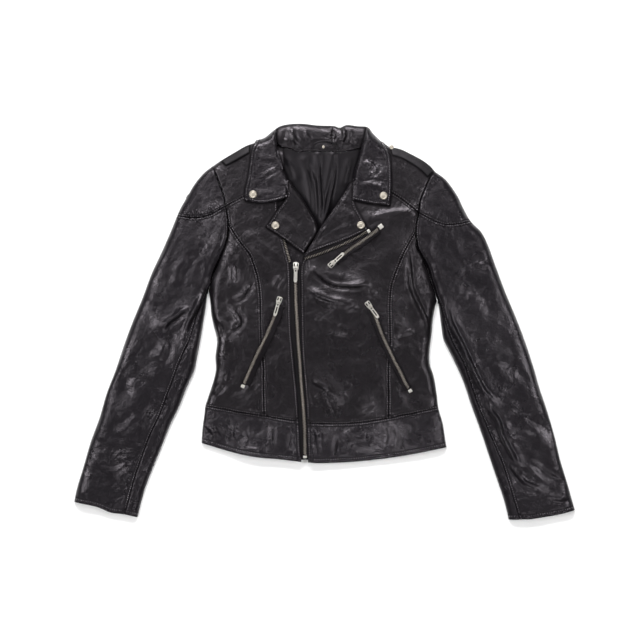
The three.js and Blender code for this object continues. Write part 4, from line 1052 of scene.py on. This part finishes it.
def leather(name, colour="#0f0d0f", rough=0.3, grain=0.07, wrinkle=0.3, crackle=0.0, rubs=()):
    """Black leather: grain, wrinkle and crackle are the depths of its three patterns, in mm.

    rubs are the places where it was handled and folded most: (x, y, radius, gain), in mm."""
    made, tree, shader = material(name, **{"Base Color": linear(colour), "Specular Tint": TINT})
    place = node(tree, "TexCoord").outputs["Object"]
    grained = {"Vector": place, "Scale": per_mm(1.1)}
    pores = node(tree, "TexVoronoi", grained, feature="SMOOTH_F1").outputs["Distance"]
    worn = noise(tree, place, 42, 3.0)
    warp = noise(tree, place, 14, 4.0, {"Distortion": 0.7})
    fine = noise(tree, place, 5, 5.0, {"Roughness": 0.62})
    crest = noise(tree, place, 9, 3.0, {"Distortion": 0.4}, noise_type="RIDGED_MULTIFRACTAL")
    split = noise(tree, place, 4.6, 2.0, {"Distortion": 0.5}, noise_type="RIDGED_MULTIFRACTAL")
    rub = 0.0
    for x, y, radius, gain in rubs:
        ends = {0: place, 1: (x * MM, y * MM, RUB_HIGH)}
        away = node(tree, "VectorMath", ends, operation="DISTANCE").outputs["Value"]
        ragged = maths(tree, "MULTIPLY_ADD", warp, 2.2 * radius * MM, away)
        spot = mapped(tree, ragged, 1.2 * radius * MM, 2.2 * radius * MM, gain, 0.0)
        rub = maths(tree, "ADD", spot, rub)
    rubbed = mapped(tree, worn, 0.44, 0.62, 0.15, 1.0)
    rubbed = maths(tree, "ADD", rubbed, rub, use_clamp=True)
    # thread pulls the leather down at each stitch and lets it stand up between two stitches; the sheen
    # of the standing leather is raised as a painted highlight, and the sheen along the stitch row and
    # in the seam grooves is cut as painted shade
    off, run, groove_shade = seam_place(tree)
    row = mapped(tree, maths(tree, "ABSOLUTE", off), 0.6, 1.8, 0.85, 0.0)
    beside = maths(tree, "ABSOLUTE", maths(tree, "ADD", off, 2.0))
    beside = mapped(tree, beside, 0.8, 1.9, 1.0, 0.0)
    turn = maths(tree, "MULTIPLY", run, math.tau / PITCH)
    stand = mapped(tree, maths(tree, "SINE", turn), -0.7, 0.7, 0.0, 1.0)
    bead_and_painted_highlight = maths(tree, "MULTIPLY", beside, stand)
    painted_shade = maths(tree, "MAXIMUM", row, groove_shade)
    normal = None
    for height, deep, strength in (
        (split, 1.1 if rubs else 0, rub), (pores, grain, 1.0), (fine, 2.6 * wrinkle, 1.0),
        (warp, 3.2 * wrinkle, 1.0), (bead_and_painted_highlight, 0.8, 1.0), (crest, crackle, rubbed)
    ):
        if deep:
            inputs = {"Height": height, "Distance": deep * MM, "Strength": strength}
            if normal is not None:
                inputs["Normal"] = normal
            normal = node(tree, "Bump", inputs).outputs[0]
    tree.links.new(normal, shader.inputs["Normal"])
    gloss = mapped(tree, worn, 0.35, 0.68, rough + 0.04, rough - 0.05)
    gloss = maths(tree, "MULTIPLY_ADD", rub, 0.07, gloss)
    tree.links.new(maths(tree, "MULTIPLY_ADD", painted_shade, 0.35, gloss), shader.inputs["Roughness"])
    polished = mapped(tree, worn, 0.36, 0.7, 0.27, 0.46 + 0.14 * min(crackle, 1))
    polished = maths(tree, "MULTIPLY_ADD", rub, 0.32, polished)
    # Painted highlight: the sheen is raised on the leather standing between two stitches.
    shine = maths(tree, "MULTIPLY_ADD", bead_and_painted_highlight, 1.0, polished)
    # Painted shade: the sheen falls to 8 per cent in seam grooves, on stitch rows and beside edges lying on
    # top.
    lit = maths(tree, "MULTIPLY", shine, mapped(tree, painted_shade, 0.0, 1.0, 1.0, 0.08))
    tree.links.new(lit, shader.inputs["Specular IOR Level"])
    return made


def metal(name, colour, rough, scratches=0.02):
    """Plated metal, with scratches that deep in mm."""
    surface = {"Base Color": linear(colour), "Metallic": 1.0, "Roughness": rough}
    made, tree, shader = material(name, **surface)
    place = node(tree, "TexCoord").outputs["Object"]
    wear = noise(tree, place, 2.5, 4.0)
    tree.links.new(mapped(tree, wear, 0.3, 0.7, rough - 0.04, rough + 0.1), shader.inputs["Roughness"])
    bump = node(tree, "Bump", {"Height": wear, "Distance": scratches * MM, "Strength": 0.6})
    tree.links.new(bump.outputs[0], shader.inputs["Normal"])
    return made


def cloth(name, colour, rough, thread, depth, shine=0.5):
    """A woven cloth: two sets of threads crossing, thread mm apart."""
    surface = {"Base Color": linear(colour), "Roughness": rough, "Specular Tint": TINT}
    made, tree, shader = material(name, **surface)
    place = node(tree, "TexCoord").outputs["Object"]
    threads = {"Vector": place, "Scale": per_mm(thread) / 3.1, "Distortion": 0.4}
    waves = [node(tree, "TexWave", threads, bands_direction=axis).outputs["Fac"] for axis in "XY"]
    weave = maths(tree, "MAXIMUM", *waves)
    bump = node(tree, "Bump", {"Height": weave, "Distance": depth * MM, "Strength": 1.0})
    tree.links.new(bump.outputs[0], shader.inputs["Normal"])
    # Painted shade: the sheen goes out where the seam attribute marks a groove or an edge lying beside it.
    shine = mapped(tree, seam_place(tree)[2], 0.0, 1.0, shine, 0.0)
    tree.links.new(shine, shader.inputs["Specular IOR Level"])
    return made


NAPPA = leather(
    "nappa leather, body", wrinkle=0.27, crackle=0.35, rubs=[(86, -152, 30, 0.9), (-190, -18, 26, 0.5)]
)
SLEEVE_NAPPA = leather(
    "nappa leather, sleeves", colour="#110f12", wrinkle=0.24, crackle=0.4,
    rubs=[(292, -4, 70, 0.35), (-204, 202, 28, 1.2)]
)
BAND_NAPPA = leather(
    "nappa leather, waistband, crackled", colour="#121013", rough=0.27, crackle=1.2, wrinkle=0.36,
    rubs=[(116, -204, 36, 1.8), (12, -202, 34, 0.6), (-150, -200, 26, 0.3)]
)
COLLAR_NAPPA = leather(
    "nappa leather, collar, crackled", colour="#100e11", rough=0.25, crackle=1.2, wrinkle=0.33,
    rubs=[(90, 276, 22, 0.8), (-60, 186, 18, 0.6), (-42, 156, 14, 0.8)]
)
DULL_NAPPA = leather("nappa leather, dull straps", colour="#0e0e0f", rough=0.6)
SATIN = cloth("satin lining", "#09080a", 0.42, 0.5, 0.01, 0.22)
TAPE_CLOTH = cloth("woven zip tape", "#0a090a", 0.75, 0.9, 0.06, 0.14)
THREAD = cloth("bonded sewing thread", "#060607", 0.85, 0.35, 0.03)
NICKEL = metal("polished nickel plate", "#e9e5de", 0.35)
CAP_NICKEL = metal("brushed nickel caps", "#a8a196", 0.42)
TEETH = metal("nickel-plated teeth", "#756f69", 0.3)
# Painted shade: a dark metal for the sheets laid in the slots of sliders and the holes of pulls.
PAINTED_SLOT_SHADE = metal("painted shade in the slots", "#1c1b1c", 0.55)
print("materials:", len(bpy.data.materials))

# %% [markdown]
# ## Body panels
#
# The fronts are cut in three: a side panel with the bust curve of the princess seam, a centre
# panel that carries the zip, and a yoke over the shoulder. The waistband is one deep strip. The
# back is under all of them, on the table.


# %% Fronts, yokes and waistband
def slack(zone, seed, amount, gain=1.35):
    return lambda x, y: creased(zone, x, y, gain) + uneven(x, y, seed, amount)


def still(x, y):
    return np.zeros_like(x)


for side in SIDES:
    e = L[side]
    k = 10 if side == "right" else 20
    armpit, tip = ARMHOLE[side][0], ARMHOLE[side][-1]
    princess_top, princess_foot = PRINCESS[side][-1], PRINCESS[side][0]
    waist_side, waist_front = WAIST[side][0], WAIST[side][-1]
    yoke_end = YOKE[side][0]
    hole_low = stretch(e["armhole"], armpit, princess_top)
    hole_mid = stretch(e["armhole"], princess_top, yoke_end)
    hole_high = stretch(e["armhole"], yoke_end, tip)
    waist_outer = stretch(e["waist"], waist_side, princess_foot)
    waist_inner = stretch(e["waist"], princess_foot, waist_front)
    panel(
        f"side_{side}",
        (
            (stretch(e["side"], waist_side, armpit), "fold"), (e["princess"], "double"),
            (waist_outer, "single"), (hole_low, "seam")
        ),
        body_top, slack("body", k, 1.15), NAPPA, BODY_FOLDS
    )
    panel(
        f"front_{side}",
        (
            (np.vstack([e["princess"], hole_mid[1:]]), "double"), (e["zip"], "placket"),
            (waist_inner, "single"), (e["yoke"], "single")
        ),
        body_top, slack("body", k + 1, 1.0), NAPPA, BODY_FOLDS, step=2.4
    )
    panel(
        f"yoke_{side}",
        ((hole_high, "seam"), (e["neck"], "plain"), (e["yoke"], "single"), (e["shoulder"], "fold")),
        body_top, slack("body", k + 2, 0.8), NAPPA, BODY_FOLDS
    )
    panel(
        f"band_{side}",
        (
            (stretch(e["side"], HEM[side][0], waist_side), "fold"), (e["front"][::-1], "placket"),
            (e["hem"], "hem"), (e["waist"], "single")
        ),
        body_top, slack("band", k + 3, 1.5, 1.9), BAND_NAPPA, BODY_FOLDS, step=2.0
    )
print("area of the front panels in dm2:", {n: round(p["area"] / 1e4, 1) for n, p in PANELS.items()})

# %% [markdown]
# ## Sleeves
#
# A two-part sleeve. The seam between its parts shows on the upper side, a little in from the inner
# fold, because the under sleeve turns up round the edge. A curved patch crosses the sleeve head.

# %% Sleeves
for side in SIDES:
    e = L[side]
    k = 40 if side == "right" else 50
    zone = f"sleeve_{side}"
    armpit, tip = ARMHOLE[side][0], ARMHOLE[side][-1]
    hole = stretch(e["armhole"], ARM_SEAM[side][0], YOKE[side][0])
    hole = hole[lengths(hole) > 6]
    outer_low = stretch(e["outer"], CUFF[side][0], PATCH_SEAM[side][0])
    bend = SLEEVE_OUT[side][3]
    cuff_upper = stretch(e["cuff"], CUFF[side][0], ARM_SEAM[side][-1])
    cuff_turn = stretch(e["cuff"], ARM_SEAM[side][-1], CUFF[side][-1])
    arm = e["arm"][::-1]
    folds = [e["outer"], e["inner"]]
    panel(
        f"sleeve_upper_{side}",
        (
            (outer_low, "fold"), (np.vstack([arm, hole]), "single"), (cuff_upper, "hem"),
            (e["patch"], "single")
        ),
        sleeve_top[side], slack(zone, k, 1.3, 1.9), SLEEVE_NAPPA, folds
    )
    turn_top = np.array([e["arm"][0], e["inner"][0]])
    panel(
        f"sleeve_turn_{side}",
        ((arm, "seam"), (e["inner"][::-1], "fold"), (cuff_turn, "hem"), (turn_top, "plain")),
        sleeve_top[side], slack(zone, k, 0.7), SLEEVE_NAPPA, folds
    )
    panel(
        f"sleeve_patch_{side}",
        (
            (stretch(e["outer"], PATCH_SEAM[side][0], bend), "fold"),
            (stretch(e["armhole"], YOKE[side][0], tip), "seam"), (e["patch"], "single"),
            (stretch(e["outer"], bend, tip), "fold")
        ),
        sleeve_top[side], slack(zone, k + 2, 0.8, 1.6), SLEEVE_NAPPA, folds, step=1.25
    )
    under_end = np.vstack([e["inner"][::-1], e["armhole"][lengths(e["armhole"]) > 8]])
    panel(
        f"sleeve_under_{side}",
        (
            (stretch(e["outer"], CUFF[side][0], bend), "fold"), (under_end, "plain"), (e["cuff"], "plain"),
            (stretch(e["outer"], bend, tip), "fold")
        ),
        sleeve_under[side], still, SLEEVE_NAPPA, folds, up=-1, step=7
    )

# %% [markdown]
# ## Back
#
# The back lies on the table. It is plain, with the waistband's back part below it and the outside
# of the collar above, which is folded over the neck seam.

# %% Back
R, F = L["right"], L["left"]
back_waist = smooth([WAIST["right"][0], (-120, -158), (0, -162), (110, -160), WAIST["left"][0]])
back_hem = smooth([HEM["right"][0], (-120, -240), (0, -248), (120, -242), HEM["left"][0]])
shoulders = np.vstack([R["shoulder"], NECK_LINE[1:], F["shoulder"][::-1][1:]])
back_sides = [
    np.vstack([stretch(e["side"], WAIST[s][0], ARMHOLE[s][0]), e["armhole"][1:]])
    for s, e in ((s, L[s]) for s in SIDES)
]
panel(
    "back_panel",
    ((back_sides[0], "plain"), (back_sides[1], "plain"), (back_waist, "plain"), (shoulders, "plain")),
    body_under, still, NAPPA, BODY_FOLDS, up=-1, step=7
)
panel(
    "band_back",
    (
        (stretch(R["side"], HEM["right"][0], WAIST["right"][0]), "fold"),
        (stretch(F["side"], HEM["left"][0], WAIST["left"][0]), "fold"), (back_hem, "plain"),
        (back_waist, "plain")
    ),
    body_under, still, BAND_NAPPA, BODY_FOLDS, up=-1, step=7
)
fall_foot = stretch(shoulders, (-122, 323), (117, 315)) + [0, 0.6, 0]
panel(
    "collar_fall",
    (
        (np.array([fall_foot[0], COLLAR_LINE[0]]), "plain"),
        (np.array([fall_foot[-1], COLLAR_LINE[-1]]), "plain"), (fall_foot, "plain"), (COLLAR_LINE, "fold")
    ),
    collar_under, still, COLLAR_NAPPA, [COLLAR_LINE], up=-1, step=5
)

# %% [markdown]
# ## Lining and collar band
#
# The open neck shows the satin lining of the back, pleated a little so that it can stretch where
# the leather can't, and above the neck seam the leather band on the inside of the collar.

# %% Lining and inner collar
def polyline(points):
    return np.array([(*p, FOLD_Z)[:3] for p in points], float)


LEAF_END = {side: LEAF[side]["neck"][-1] for side in SIDES}
panel(
    "lining_back",
    (
        (polyline([(-105, 96), (-100, 200), (-74, 313)]), "roll"),
        (polyline([(78, 96), (84, 200), (66, 312)]), "roll"), (polyline([(-105, 96), (78, 96)]), "roll"),
        (NECK_LINE, "roll")
    ),
    lambda x, y: 5.2 + ridges(PLEATS, x, y), slack("lining", 60, 0.3, 0.8), SATIN, wall=1.0,
    step=2.0
)
panel(
    "collar_band",
    (
        (smooth([(-74, 313), (-84, 322), (-88, 335), LEAF_END["right"]]), "roll"),
        (smooth([(66, 312), (72, 322), (77, 335), LEAF_END["left"]]), "roll"), (NECK_LINE, "seam"),
        (stretch(COLLAR_LINE, LEAF_END["right"], LEAF_END["left"]), "fold")
    ),
    band_top, slack("collar_band", 61, 0.35, 2.0), NAPPA, [COLLAR_LINE], step=1.8
)

# %% [markdown]
# ## Zips
#
# Metal teeth on a woven tape, number five. Each tooth is a small cast block clamped over the edge
# of its tape; the two sides mesh, so closed teeth are half as far apart as on one side. The main
# zip is closed up to its slider and open above, with one half along each lapel. The pockets have a
# leather lip on each side of the teeth.

# %% Tapes, lips and teeth
TAPE, TOOTH_PITCH = 0.9, 2.9
TOOTH = loft([(-3.1, 0.7), (-2.6, 1), (0.7, 1), (1.3, 0.62)],
             [(-0.62, -0.9), (0.62, -0.9), (0.62, 0.7), (0.4, 1.0), (-0.4, 1.0), (-0.62, 0.7)])


def rail(table, half, down=None):
    """Places along a line, the way ahead, and the height at which a strip lies there."""
    run = smooth(table, 2)
    ahead = unit(np.gradient(run[:, :2], axis=0))
    if down is not None:
        return run[:, :2], ahead, body_plateau(run[:, 0], run[:, 1]) - down
    z = []
    for (x, y, _), (dx, dy) in zip(run, ahead):
        hits = [below(x + dy * half * k, y - dx * half * k) for k in (-1, -0.5, 0, 0.5, 1)]
        z.append(max(hit[0].z for hit in hits if hit is not None) + 0.1)
    wide = np.pad(z, 5, mode="edge")
    z = np.array([wide[k : k + 11].max() for k in range(len(z))])
    return run[:, :2], ahead, np.convolve(np.pad(z, 4, mode="edge"), np.ones(9) / 9, "valid")


def strip(name, places, section, material, ripple=0.0):
    """A strip along a rail; its section is a closed outline of (across, up)."""
    points, ahead, z = places
    wave = ripple * cloudy(points[:, 0], points[:, 1], 4.5, 7)
    rows = [[(x + dy * a, y - dx * a, h + b + (w if b > 0 else 0)) for a, b in section]
            for (x, y), (dx, dy), h, w in zip(points, ahead, z, wave)]
    faces = bar_faces(len(rows), len(section))
    obj = mesh(name, np.array(rows).reshape(-1, 3), faces, material)
    bm = bmesh.new()
    bm.from_mesh(obj.data)
    bmesh.ops.recalc_face_normals(bm, faces=bm.faces)
    bm.to_mesh(obj.data)
    bm.free()
    return obj


def flat_bar(a, b, low, high):
    """Outline of a flat strip with rounded upper edges."""
    r = min(0.45, (high - low) / 2)
    return [
        (a, low), (b, low), (b, high - r), (b - 0.3 * r, high - 0.3 * r), (b - r, high), (a + r, high),
        (a + 0.3 * r, high - 0.3 * r), (a, high - r)
    ]


def teeth(name, places, up, sides, shift=0.0):
    """Teeth along a rail: sides holds +1, -1 or both, for the tape each tooth is clamped on."""
    points, _, z = places
    line = np.column_stack([points, z])
    frames = []
    for which, side in enumerate(sides):
        marks = np.arange(0.8 + TOOTH_PITCH / 2 * which, lengths(line)[-1] - 0.6, TOOTH_PITCH)
        here, further = at(line, marks), at(line, marks + 0.4)
        back = at(line, marks - 0.4)
        for p, d in zip(here, unit((further - back)[:, :2])):
            across = np.array([d[1], -d[0], 0]) * -side
            frames.append((p + [0, 0, up] - across * shift, across, (d[0], d[1], 0), (0, 0, 1)))
    return copies(name, TOOTH, frames, TEETH)


# How far below the top of the fronts the tapes lie, and the strip behind the open zip.
BEHIND, GUARD_DOWN = 1.5 + 0.45 + TAPE, 5.2
panel(
    "zip_guard",
    (
        (polyline([(-70, 103), (-98, 226)]), "roll"),
        (polyline([(-30, 103), (-24, 150), (-62, 226)]), "roll"),
        (polyline([(-70, 103), (-30, 103)]), "roll"), (polyline([(-98, 226), (-62, 226)]), "roll")
    ),
    lambda x, y: body_plateau(x, y) - GUARD_DOWN, lambda x, y: 0.25 * cloudy(x, y, 12, 90), NAPPA
)
tapes = rail(CHAINS["tapes"], 13, BEHIND + 0.5)
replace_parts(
    strip("zip_tape_right", tapes, flat_bar(-13, -0.2, 0, TAPE), TAPE_CLOTH), "zip_tape_right"
)
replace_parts(strip("zip_tape_left", tapes, flat_bar(0.2, 11, 0, TAPE), TAPE_CLOTH), "zip_tape_left")
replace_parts(teeth("zip_chain", rail(CHAINS["main"], 3, BEHIND - TAPE), 0.5, (1, -1)), "zip_chain")
half_right = rail(CHAINS["main_right"], 6, BEHIND)
half_left = rail(CHAINS["main_left"], 6)
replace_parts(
    strip("zip_half_right", half_right, flat_bar(-11, 1.2, 0, TAPE), TAPE_CLOTH), "zip_half_right"
)
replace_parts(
    strip("zip_half_left", half_left, flat_bar(-12, 1.0, 0, TAPE), TAPE_CLOTH), "zip_half_left"
)
teeth("zip_teeth_right", half_right, 1.15, (-1,), 1.0)
teeth("zip_teeth_left", half_left, 1.15, (-1,), 1.0)
for name, welt in WELTS.items():
    near, far = welt["near"], welt["far"]
    places = rail(CHAINS[name], max(near, far))
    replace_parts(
        strip(
            f"{name}_zip", places, flat_bar(-min(far - 2, 7), min(near - 1, 7), 0, TAPE), TAPE_CLOTH
        ),
        f"{name}_zip"
    )
    teeth(f"{name}_teeth", places, 1.0, (1, -1))
    low = TAPE + 0.2
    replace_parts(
        strip(f"{name}_lip_front", places, flat_bar(2.7, near, low, low + 1.2), NAPPA, 0.25),
        f"{name}_lip_front"
    )
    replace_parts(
        strip(f"{name}_lip_side", places, flat_bar(-far, -2.7, low, low + 1.2), NAPPA, 0.25),
        f"{name}_lip_side"
    )
print("zip pieces:", sorted(o.name for o in bpy.data.objects if "teeth" in o.name))

# %% [markdown]
# ## Lapels, epaulettes and collar
#
# The lapels are the tops of the fronts turned back, so they start in a soft roll at the neck. The
# leaves of the collar come down over them, and end in points held by a snap.

# %% Lapels, epaulettes and collar leaves
def overlay(rise, neck, folds=()):
    """Height of a layer that lies a rise above the fronts and rolls down at the neck and folds."""
    return top_lie([(f, ROLL) for f in folds] + [(smooth(neck), 8)], lambda x, y: body_plateau(x, y) + rise)


for side in SIDES:
    cut = LAPEL[side]
    out, neck = (smooth(cut["out"]), "edge"), (smooth(cut["neck"]), "roll")
    ends = (out, neck) if side == "right" else (neck, out)
    panel(f"lapel_{side}", (*ends, (smooth(cut["foot"]), "edge"), (smooth(cut["top"]), "roll")),
          overlay(3.5, cut["neck"]), slack(f"lapel_{side}", 62, 0.55), NAPPA, step=1.8, over=0.4)
for side in SIDES:
    upper, lower = smooth(EPAULETTE[side]["upper"]), smooth(EPAULETTE[side]["lower"])
    panel(
        f"epaulette_{side}",
        (
            (np.array([lower[0], upper[0]]), "plain"), (np.array([lower[-1], upper[-1]]), "plain"),
            (lower, "plain"), (upper, "plain")
        ),
        body_top, still, DULL_NAPPA, step=2, off=0.9 + WALL
    )
for side in SIDES:
    cut = LEAF[side]
    out, neck = (smooth(cut["out"]), "edge"), (smooth(cut["neck"]), "roll")
    corner = COLLAR_TOP[0] if side == "right" else COLLAR_TOP[-1]
    ends = (out, neck) if side == "right" else (neck, out)
    top = (corner, LEAF_END[side]) if side == "right" else (LEAF_END[side], corner)
    panel(
        f"collar_leaf_{side}", (*ends, (smooth(cut["foot"]), "edge"), (stretch(COLLAR_LINE, *top), "fold")),
        overlay(6.4, cut["neck"], [COLLAR_LINE]), slack(f"collar_{side}", 64, 0.55), COLLAR_NAPPA,
        [COLLAR_LINE], step=1.8, over=0.4, wall=2.4
    )

# %% [markdown]
# ## Snaps, sliders, stops and the hanger loop
#
# The caps of the snaps are pressed from sheet: a low dome with a ring rolled into it. Sliders and
# pulls are cast, so every edge is broken by a small radius. The pulls hinge on their bridges. The
# slots of the sliders and the holes of the pulls are dark sheets laid on the metal: painted shade.

# %% Small hard pieces
def turned(profile, n=40):
    """Vertices and faces turned round the z axis from rows of (radius, height), closed below."""
    vertices = [
        (r * math.cos(2 * math.pi * k / n), r * math.sin(2 * math.pi * k / n), z)
        for r, z in profile
        for k in range(n)
    ]
    faces = [
        [r * n + k, (r + 1) * n + k, (r + 1) * n + (k + 1) % n, r * n + (k + 1) % n]
        for r in range(len(profile) - 1)
        for k in range(n)
    ]
    return vertices, faces + [list(range(n)), [(len(profile) - 1) * n + k for k in range(n)][::-1]]


CAP = [
    (0.4, 2.5), (1.6, 2.62), (3.4, 2.5), (4.0, 2.25), (4.4, 2.2), (4.8, 2.5), (5.6, 2.6), (6.4, 2.3),
    (7.0, 1.6), (7.25, 0.9), (7.1, 0.3), (6.6, 0.0)
]


def cap(name, x, y, z, size, replaced=()):
    """A snap cap with its foot at a place; size 1 is 14.5 mm across."""
    vertices, faces = turned(CAP)
    obj = mesh(name, np.array(vertices) * size + [x, y, z], faces, CAP_NICKEL)
    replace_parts(obj, *replaced)
    return obj


for name, (x, y) in SNAPS.items():
    cap(f"snap_{name}", x, y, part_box(f"snap_{name}")[0].z / MM, 1.0, [f"snap_{name}"])
cap("hanger_rivet", -2, 314.5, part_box("hanger_rivet")[0].z / MM, 0.36, ["hanger_rivet"])
cap("snap_epaulette_left", 120.6, 313, below(120.6, 309)[0].z - 2, 0.55)
loop = rail(HANGER, 1.2)
twist = [
    (1.75 * math.cos(t), 0.7 + 0.65 * math.sin(t))
    for t in np.linspace(0, 2 * math.pi, 12, endpoint=False)
]
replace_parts(strip("hanger_loop", loop, twist, SATIN, 0.5), "hanger_loop")


# The surfaces of the cast pieces, to lay the painted shade of their slots on.
CAST = {}


def cast(node_name, radius, body="jacket"):
    """A copy of a CAD node with its edges broken by a small radius."""
    source = frame["nodes"][node_name]
    data = source.data.copy()
    data.materials.clear()
    bm = bmesh.new()
    bm.from_mesh(data)
    bmesh.ops.remove_doubles(bm, verts=bm.verts, dist=2e-5)
    bmesh.ops.dissolve_limit(bm, angle_limit=math.radians(4), verts=bm.verts, edges=bm.edges)
    sharp = [e for e in bm.edges if len(e.link_faces) == 2 and e.calc_face_angle(0) > math.radians(28)]
    bmesh.ops.bevel(
        bm, geom=sharp, offset=radius * MM, segments=2, profile=0.5, affect="EDGES", clamp_overlap=True
    )
    bmesh.ops.triangulate(bm, faces=bm.faces)
    CAST[node_name] = BVHTree.FromBMesh(bm)
    bm.to_mesh(data)
    bm.free()
    data.polygons.foreach_set("use_smooth", [False] * len(data.polygons))
    data.materials.append(NICKEL)
    obj = bpy.data.objects.new(f"cast_{node_name}", data)
    bpy.context.scene.collection.objects.link(obj)
    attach(obj, body)
    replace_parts(obj, node_name)
    return obj


def paint_slot_shade(name, on, spot, slots, body="jacket"):
    """Dark sheets laid in the slots of a cast piece as their painted shade: rows of start and end along its
    zip, place across, half width.
    """
    here = np.array(spot["at"], float)
    d = unit(np.array(spot["towards"]) - here)
    side = np.array([d[1], -d[0], 0.0])
    vertices, faces = [], []
    for start, end, across, half in slots:
        ends = []
        for s in (start, end):
            p = here + d * s + side[:2] * across
            hit = CAST[on].ray_cast(Vector((*p * MM, 0.06)), Vector((0, 0, -1)))
            ends.append([*p, hit[0].z / MM + 0.04])
        a, b = np.array(ends)
        along, size = unit(b - a), np.linalg.norm(b - a) / 2
        points, quads = loft([(-size, 0.5), (0.5 * half - size, 1), (size - 0.5 * half, 1), (size, 0.5)],
                             [(-half, -0.15), (half, -0.15), (0.9 * half, 0.06), (-0.9 * half, 0.06)])
        faces += [[v + len(vertices) * len(points) for v in quad] for quad in quads]
        vertices.append((a + b) / 2 + points @ np.array([along, side, np.cross(side, along)]))
    return mesh(name, np.concatenate(vertices), faces, PAINTED_SLOT_SHADE, body, smooth_faces=False)


for name in STOPS:
    cast(f"{name}_stop", 0.4)
for name, spot in SLIDERS.items():
    cast(f"{name}_slider", 0.3)
    cast(f"{name}_pull", 0.22, f"{name}_pull")
    paint_slot_shade(
        f"{name}_slider_slot_shade", f"{name}_slider", spot, [(-5.2, 0.2, side * 2.6, 1.15) for side in (1, -1)]
    )
    paint_slot_shade(
        f"{name}_pull_slot_shade", f"{name}_pull", spot,
        [(6.6, 9.4, 0, 1.5)] + ([(11.5, 24, 0, 1.1)] if name != "main" else []), f"{name}_pull"
    )

# %% [markdown]
# ## Painted shadows beside the edges
#
# The turned edges of lapels, collar and straps are four skins thick. Their shadow on the leather and
# satin beside them is painted: a dull, dark line in the sheen, which is what makes their outlines
# stand out so sharply.


# %% Painted shadow lines beside the edges that lie on top
def paint_edge_shadow(over, wide=3.2, depth=1.0):
    """Paints a shadow line, in the seam attribute of all panels below, along the rim of one panel."""
    rim = PANELS[over]["rim"]
    rim = np.vstack([rim, rim[:1]])
    low, high = rim.min(0) - 3 * wide, rim.max(0) + 3 * wide
    order = list(PANELS)
    for name in order[: order.index(over)]:
        obj = PANELS[name]["obj"]
        if PANELS[name]["up"] < 0:
            continue
        points = np.empty(len(obj.data.vertices) * 3)
        obj.data.vertices.foreach_get("co", points)
        points = points.reshape(-1, 3) / MM
        near = np.all((points[:, :2] > low[:2]) & (points[:, :2] < high[:2]), axis=1)
        if not near.any():
            continue
        gap = nearest(rim, points[near, 0], points[near, 1])[0]
        seam = np.empty(len(points) * 3, np.float32)
        obj.data.attributes["seam"].data.foreach_get("vector", seam)
        seam = seam.reshape(-1, 3)
        seam[near, 2] = np.maximum(seam[near, 2], depth * np.exp(-((gap / wide) ** 2)))
        obj.data.attributes["seam"].data.foreach_set("vector", seam.ravel())


for over in (
    "lapel_right", "lapel_left", "epaulette_right", "epaulette_left", "collar_leaf_right",
    "collar_leaf_left"
):
    paint_edge_shadow(over)
print("outlines pressed into the panels below")

# %% [markdown]
# ## The cut of each sheet
#
# Every panel is a sheet of leather or satin that was cut flat. Its flat width and length are taken
# along the surface, so the roll at the folds and the slack of the creases count in them.

# %% Sizes of the sheets
print("whole cut:", round(sum(p["area"] for p in PANELS.values()) / 1e6, 2), "m2")
for name, p in PANELS.items():
    print(f"  {name}: {p['width']:.0f} x {p['length']:.0f} mm, {p['area'] / 100:.0f} cm2")

# %% [markdown]
# ## Table, light and camera
#
# The jacket lies on a white table, lit by one large soft light from beyond the collar and a ring of
# weaker ones high up all round, as it would be for a catalogue: flat leather then shows dark, and
# each crease catches a light on one of its slopes. The camera looks straight down.

# %% Stage
def area_light(name, place, size, power, target=(0, 0, 0)):
    """A soft light of a size in metres and a power in watts, facing a target."""
    data = bpy.data.lights.new(name, "AREA")
    data.shape, data.size, data.size_y, data.energy = "RECTANGLE", *size, power
    obj = bpy.data.objects.new(name, data)
    obj.location = place
    obj.rotation_euler = (Vector(target) - Vector(place)).to_track_quat("-Z", "Y").to_euler()
    bpy.context.scene.collection.objects.link(obj)
    obj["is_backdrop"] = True
    return obj


bpy.ops.mesh.primitive_plane_add(size=8, location=(0, 0, 0))
floor = bpy.context.object
floor.name = "table_top"
paper = material("white table", **{"Base Color": (0.92, 0.92, 0.92, 1), "Roughness": 0.9})[0]
floor.data.materials.append(paper)
floor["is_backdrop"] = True
area_light("key_light", (-0.3, 2.2, 1.8), (1.8, 0.6), 96)
area_light("north_light", (-0.4, 1.3, 2.8), (1.2, 0.4), 8)
area_light("fill_light", (0.2, -2.0, 2.4), (1.8, 0.5), 27)
area_light("left_light", (-1.9, 0.2, 2.3), (0.5, 1.2), 36)
area_light("right_light", (1.9, 0.2, 2.3), (0.5, 1.2), 30)
world = bpy.data.worlds.new("studio")
world.use_nodes = True
world.node_tree.nodes["Background"].inputs["Color"].default_value = (1, 1, 1, 1)
world.node_tree.nodes["Background"].inputs["Strength"].default_value = 0.06
bpy.context.scene.world = world
bpy.context.scene.view_settings.view_transform = "Standard"

# The camera looks straight down, and its picture is VIEW_WIDE across at the height of the fronts.
CAMERA_AT, FRONTS_HIGH, VIEW_WIDE, SENSOR_MM = (-0.0081, 0.0027, 2.4), 0.012, 1.152, 36
camera_data = bpy.data.cameras.new("camera")
camera_data.lens = SENSOR_MM * (CAMERA_AT[2] - FRONTS_HIGH) / VIEW_WIDE
camera_data.sensor_width = SENSOR_MM
camera = bpy.data.objects.new("camera", camera_data)
camera.location = CAMERA_AT
bpy.context.scene.collection.objects.link(camera)
bpy.context.scene.camera = camera

# %% Size, and finish
sizes = [[list(map(float, corner)) for corner in box] for box in (CAD_BOX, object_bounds())]
print("CAD", sizes[0], "model", sizes[1])
